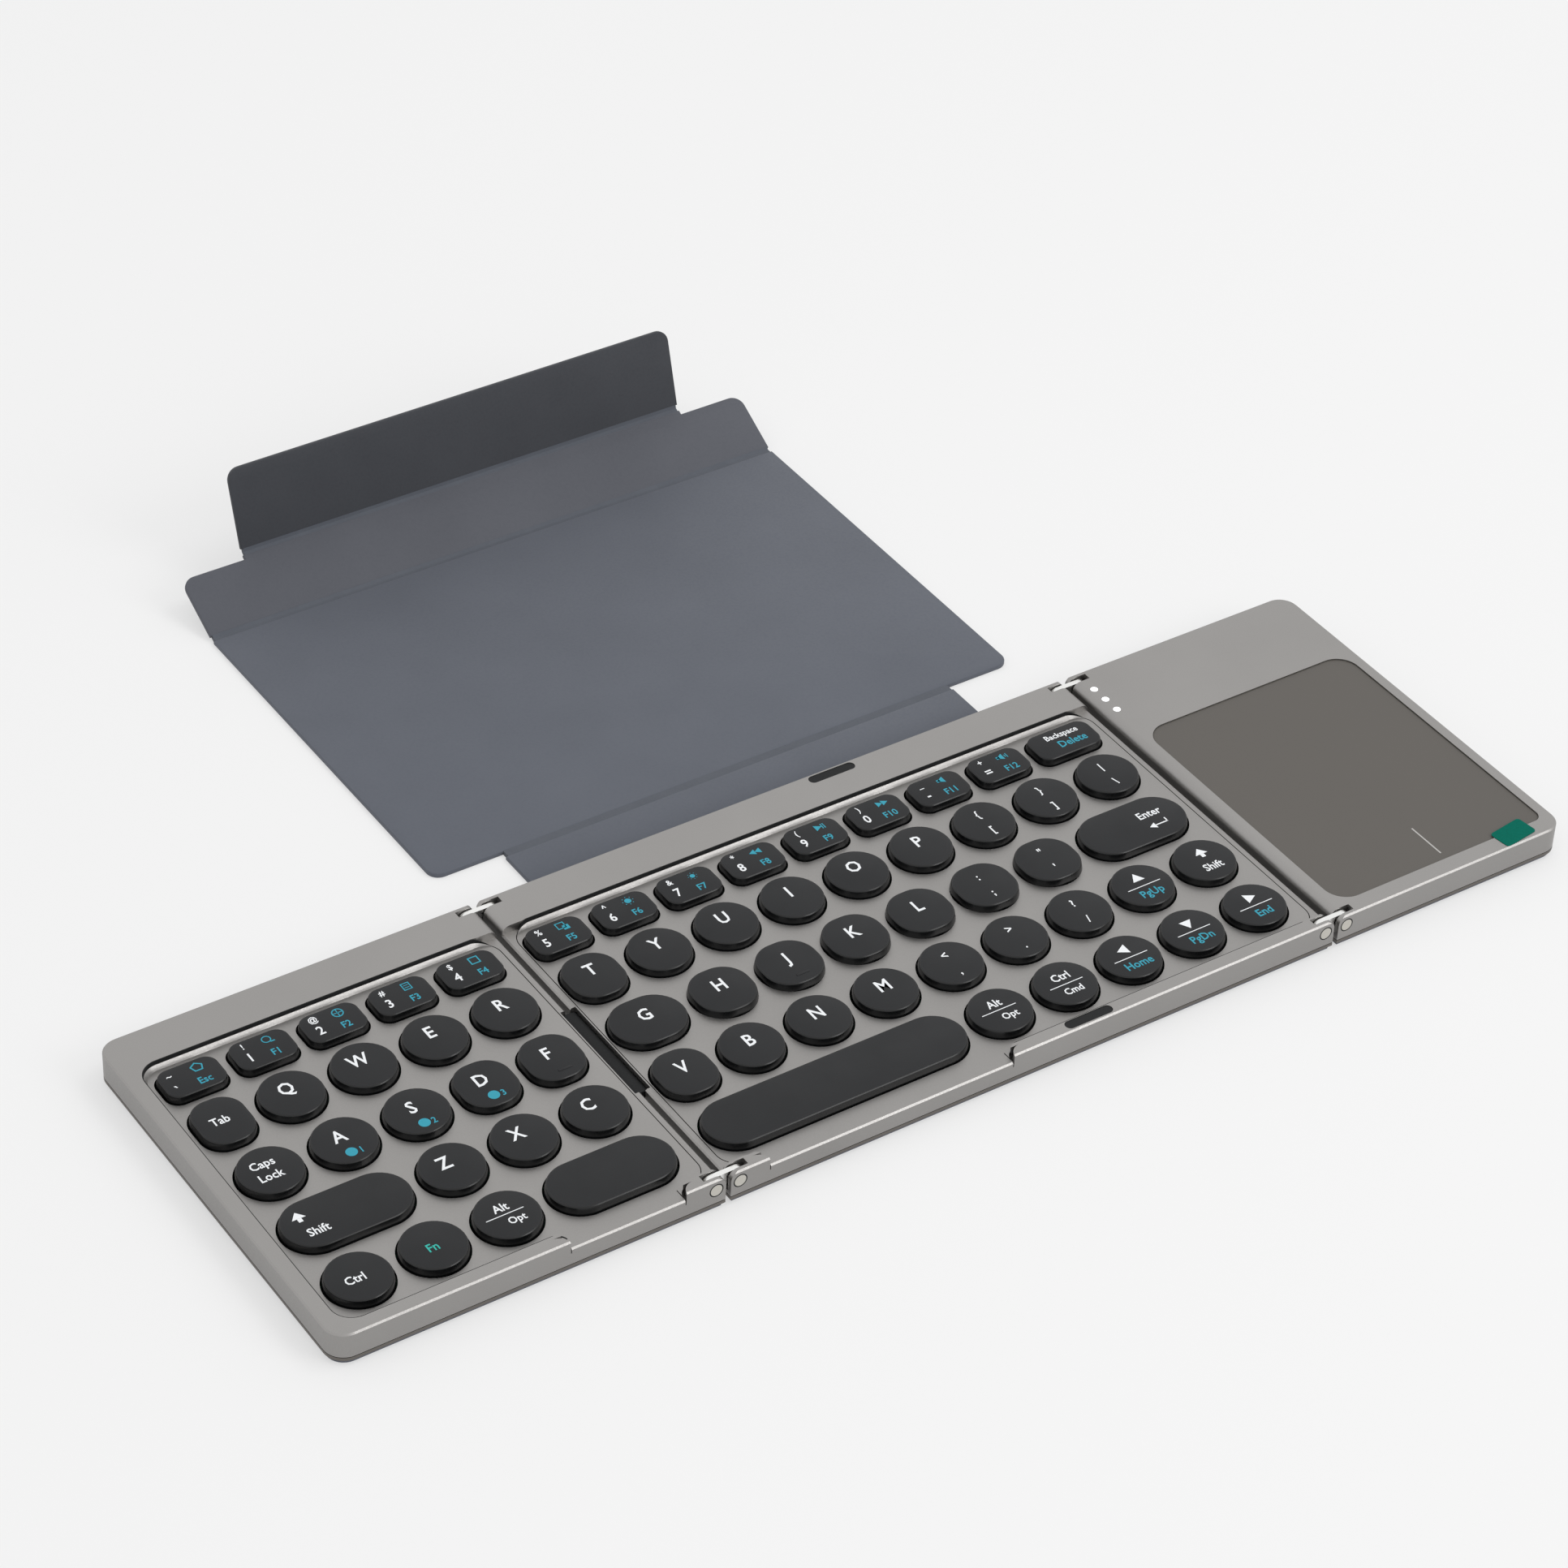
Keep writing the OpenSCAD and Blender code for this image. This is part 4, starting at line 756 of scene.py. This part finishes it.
def plateTrim(name, body, lips, shadeStrips, ends, floor):
    # the lip is the frame's metal; the seal and line strips take the black, painted shade of the gap behind the lip
    bm = bmesh.new()
    for profile, paths, finish in (("lip", lips, 0), ("seal", shadeStrips, 1), ("line", ends, 1)):
        for path in paths:
            sweepEdge(bm, path, lipLook[profile], floor, finish)
    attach(keepPiece(name, meshOf(bm, name), ["frameMetal", "blackRubberAndShade"]), body)


low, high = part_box("left_plate")
r, faint, stepR = lipLook["radius"], 0.05, lipLook["stepRadius"]
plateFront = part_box("left_frame")[0].y + lipLook["rim"]
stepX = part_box("left_frame")[1].x - lipLook["leftLow"] - stepR
backRight, backLeft, frontLeft = (high.x - r, high.y - r), (low.x + r, high.y - r), (low.x + r, plateFront + r)
plateTrim("left_plate_edge", "left_wing",
          [cornerPath(backRight, r, 35, 90, faint, 1) + cornerPath(backLeft, r, 90, 180) + cornerPath(frontLeft, r, 180, 240, 1, faint)],
          [cornerPath(backRight, r, 35, 90, faint, 1) + cornerPath(backLeft, r, 90, 180) + cornerPath(frontLeft, r, 180, 270)
           + [(Vector((stepX, plateFront)), Vector((0, 1)), 1)]],
          [cornerPath((stepX, plateFront - stepR), stepR, 90, 14, inward=False)], high.z)
low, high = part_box("middle_plate")
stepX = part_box("middle_frame")[0].x + lipLook["middleLow"] + stepR
backRight, backLeft, frontRight = (high.x - r, high.y - r), (low.x + r, high.y - r), (high.x - r, plateFront + r)
backRun = cornerPath(backRight, r, 35, 90, faint, 1) + cornerPath(backLeft, r, 90, 145, 1, faint)
plateTrim("middle_plate_edge", "middle", [backRun],
          [backRun, [(Vector((stepX, plateFront)), Vector((0, 1)), 1)] + cornerPath(frontRight, r, 270, 325, 1, faint)],
          [cornerPath((stepX, plateFront - stepR), stepR, 166, 90, inward=False)], high.z)

headLook = {"head": 1.34 * mm, "ring": 1.62 * mm, "proud": 0.012 * mm, "deep": 0.3 * mm, "pinInset": 1.15 * mm}


def pinHeads(name, body, holders):
    # the turned end of each pin, with a thin dark line round it where it meets the frame: painted shade of the gap
    # round the pin
    bm = bmesh.new()
    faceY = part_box("middle_frame")[1].y
    for x, z in holders:
        for side in (-1, 1):
            for radius, proud, finish in ((headLook["ring"], headLook["proud"] / 2, 1), (headLook["head"], headLook["proud"], 0)):
                made = bmesh.ops.create_cone(bm, cap_ends=True, segments=32, radius1=radius, radius2=radius,
                                             depth=headLook["deep"])["verts"]
                place = Matrix.Translation((x, side * (faceY + proud - headLook["deep"] / 2), z)) @ Matrix.Rotation(math.pi / 2, 4, "X")
                bmesh.ops.transform(bm, matrix=place, verts=made)
                for face in {f for v in made for f in v.link_faces}:
                    face.material_index = finish
    bmesh.ops.recalc_face_normals(bm, faces=bm.faces)
    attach(keepPiece(name, meshOf(bm, name), ["pinSteel", "blackRubberAndShade"]), body)


for name, body in (("left_pins", "left_wing"), ("middle_pins", "middle"), ("right_pins", "right_wing")):
    low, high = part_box(name)
    inset = headLook["pinInset"]
    xs = {round(low.x + inset, 6), round(high.x - inset, 6)}
    pinHeads(name[:-1] + "_heads", body, [(x, (low.z + high.z) / 2) for x in sorted(xs)])

sealLook = {"grow": 0.18 * mm, "wide": 0.15 * mm, "radius": 5 * mm, "tip": 2 * mm, "under": 0.06 * mm, "deep": 0.5 * mm}
low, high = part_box("touchpad")
bm = bmesh.new()
grow = sealLook["grow"]
face = roundedFace(bm, high.x - low.x + 2 * grow, high.y - low.y + 2 * grow,
                   [sealLook["radius"] + grow, sealLook["tip"] + grow] + [sealLook["radius"] + grow] * 2, 0)
face.normal_update()
bmesh.ops.inset_region(bm, faces=[face], thickness=sealLook["wide"], use_boundary=True, use_even_offset=True)
bmesh.ops.delete(bm, geom=[face], context="FACES_ONLY")
grown = bmesh.ops.extrude_face_region(bm, geom=bm.faces[:])["geom"]
bmesh.ops.translate(bm, verts=[g for g in grown if isinstance(g, bmesh.types.BMVert)], vec=(0, 0, sealLook["deep"]))
bmesh.ops.recalc_face_normals(bm, faces=bm.faces)
bmesh.ops.translate(bm, verts=bm.verts, vec=((low.x + high.x) / 2, (low.y + high.y) / 2,
                                             high.z - sealLook["under"] - sealLook["deep"]))
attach(keepPiece("touchpad_seal", meshOf(bm, "touchpad_seal"), ["padSeal"]), "right_wing")

coverLook = {"crown": 1.0 * mm, "steps": 16, "fullness": 0.72, "wider": 0.4 * mm, "higher": 0.15 * mm}
low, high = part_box("cable_cover")
half, rise, top = (high.x - low.x) / 2 + coverLook["wider"], coverLook["crown"], high.z + coverLook["higher"]
bm = bmesh.new()
section = [(-half, low.z), (-half, top - rise)]
for k in range(1, coverLook["steps"]):
    angle = math.pi * (1 - k / coverLook["steps"])
    across, over = math.cos(angle), math.sin(angle)
    section.append((math.copysign(abs(across) ** coverLook["fullness"], across) * half,
                    top - rise + rise * over ** coverLook["fullness"]))
section += [(half, top - rise), (half, low.z)]
ends = [[bm.verts.new(((low.x + high.x) / 2 + x, y, z)) for x, z in section] for y in (low.y, high.y)]
bm.faces.new(ends[0])
bm.faces.new(ends[1])
for k in range(len(section)):
    bm.faces.new((ends[0][k], ends[0][k - 1], ends[1][k - 1], ends[1][k]))
bmesh.ops.recalc_face_normals(bm, faces=bm.faces)
cover = keepPiece("cable_cover_bar", meshOf(bm, "cable_cover_bar"), ["blackRubberAndShade"])
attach(cover, "left_hinge")
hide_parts("cable_cover")
print("trim made")


# --- camera, light and floor

cameraLook = {"focal": 5928.6, "frame": 1932.0, "sensor": 36.0, "azimuth": -35.2417, "elevation": 38.1169, "roll": -2.8102,
              "target": (7.4 * mm, 57.379 * mm, 0.0), "distance": 1053.75 * mm}


def makeCamera():
    a, e, r = (math.radians(cameraLook[k]) for k in ("azimuth", "elevation", "roll"))
    backward = Vector((math.sin(a) * math.cos(e), -math.cos(a) * math.cos(e), math.sin(e)))
    right = (-backward).cross(Vector((0, 0, 1))).normalized()
    down = (-backward).cross(right)
    right, down = math.cos(r) * right + math.sin(r) * down, math.cos(r) * down - math.sin(r) * right
    data = bpy.data.cameras.new("camera")
    data.sensor_width = cameraLook["sensor"]
    data.lens = cameraLook["focal"] / cameraLook["frame"] * cameraLook["sensor"]
    data.clip_start, data.clip_end = 0.01, 100
    camera = bpy.data.objects.new("camera", data)
    bpy.context.scene.collection.objects.link(camera)
    turn = Matrix((right, -down, backward)).transposed().to_4x4()
    camera.matrix_world = Matrix.Translation(Vector(cameraLook["target"]) + backward * cameraLook["distance"]) @ turn
    bpy.context.scene.camera = camera


stageLook = {"floor": "#f0f0f0", "world": "#ffffff", "worldLight": 0.86, "floorSize": 40.0, "floorGlow": 0.6}
lampLook = [{"name": "soft_window", "place": (0.86, -0.38, 1.65), "size": 0.8, "watts": 5.0},
            {"name": "soft_front", "place": (0.75, -1.25, 0.95), "size": 0.9, "watts": 7.5}]


def makeStage():
    world = bpy.data.worlds.new("studio")
    bpy.context.scene.world = world
    world.use_nodes = True
    tree = world.node_tree
    tree.nodes.clear()
    path = addNode(tree, "ShaderNodeLightPath")
    seen = addNode(tree, "ShaderNodeMath", {"operation": "MAXIMUM"}, {0: (path, "Is Camera Ray"), 1: (path, "Is Glossy Ray")})
    seen = addNode(tree, "ShaderNodeMath", {"operation": "MAXIMUM"}, {0: (seen, "Value"), 1: (path, "Is Transmission Ray")})
    strength = addNode(tree, "ShaderNodeMapRange", {"To Min": stageLook["worldLight"], "To Max": 1.0}, {"Value": (seen, "Value")})
    glow = addNode(tree, "ShaderNodeBackground", {"Color": linearColour(stageLook["world"])}, {"Strength": (strength, "Result")})
    addNode(tree, "ShaderNodeOutputWorld", {}, {"Surface": (glow, "Background")})
    # matt studio paper: it keeps part of the shadow and glows a little where the camera or a gloss sees it
    material, tree, surface, place = startMaterial("studioPaper", {"colour": stageLook["floor"], "roughness": 0.9})
    path = addNode(tree, "ShaderNodeLightPath")
    seen = addNode(tree, "ShaderNodeMath", {"operation": "MAXIMUM"}, {0: (path, "Is Camera Ray"), 1: (path, "Is Glossy Ray")})
    seen = addNode(tree, "ShaderNodeMath", {"operation": "MAXIMUM"}, {0: (seen, "Value"), 1: (path, "Is Transmission Ray")})
    share = addNode(tree, "ShaderNodeMath", {"operation": "MULTIPLY", 1: stageLook["floorGlow"]}, {0: (seen, "Value")})
    glow = addNode(tree, "ShaderNodeEmission", {"Color": linearColour(stageLook["floor"])})
    both = addNode(tree, "ShaderNodeMixShader", {}, {0: (share, "Value"), 1: (surface, "BSDF"), 2: (glow, "Emission")})
    tree.links.new(both.outputs["Shader"], tree.nodes["Material Output"].inputs["Surface"])
    bm = bmesh.new()
    bmesh.ops.create_grid(bm, x_segments=1, y_segments=1, size=stageLook["floorSize"] / 2)
    mesh = bpy.data.meshes.new("floor")
    bm.to_mesh(mesh)
    bm.free()
    mesh.materials.append(material)
    floor = bpy.data.objects.new("floor", mesh)
    bpy.context.scene.collection.objects.link(floor)
    for lamp in lampLook:
        data = bpy.data.lights.new(lamp["name"], "AREA")
        data.shape, data.size, data.energy = "DISK", lamp["size"], lamp["watts"]
        light = bpy.data.objects.new(lamp["name"], data)
        bpy.context.scene.collection.objects.link(light)
        light.location = lamp["place"]
        light.rotation_mode = "QUATERNION"
        light.rotation_quaternion = (-Vector(lamp["place"])).to_track_quat("-Z", "Y")


makeCamera()
makeStage()
bpy.context.scene.view_settings.view_transform = "Standard"
print("camera and stage made")
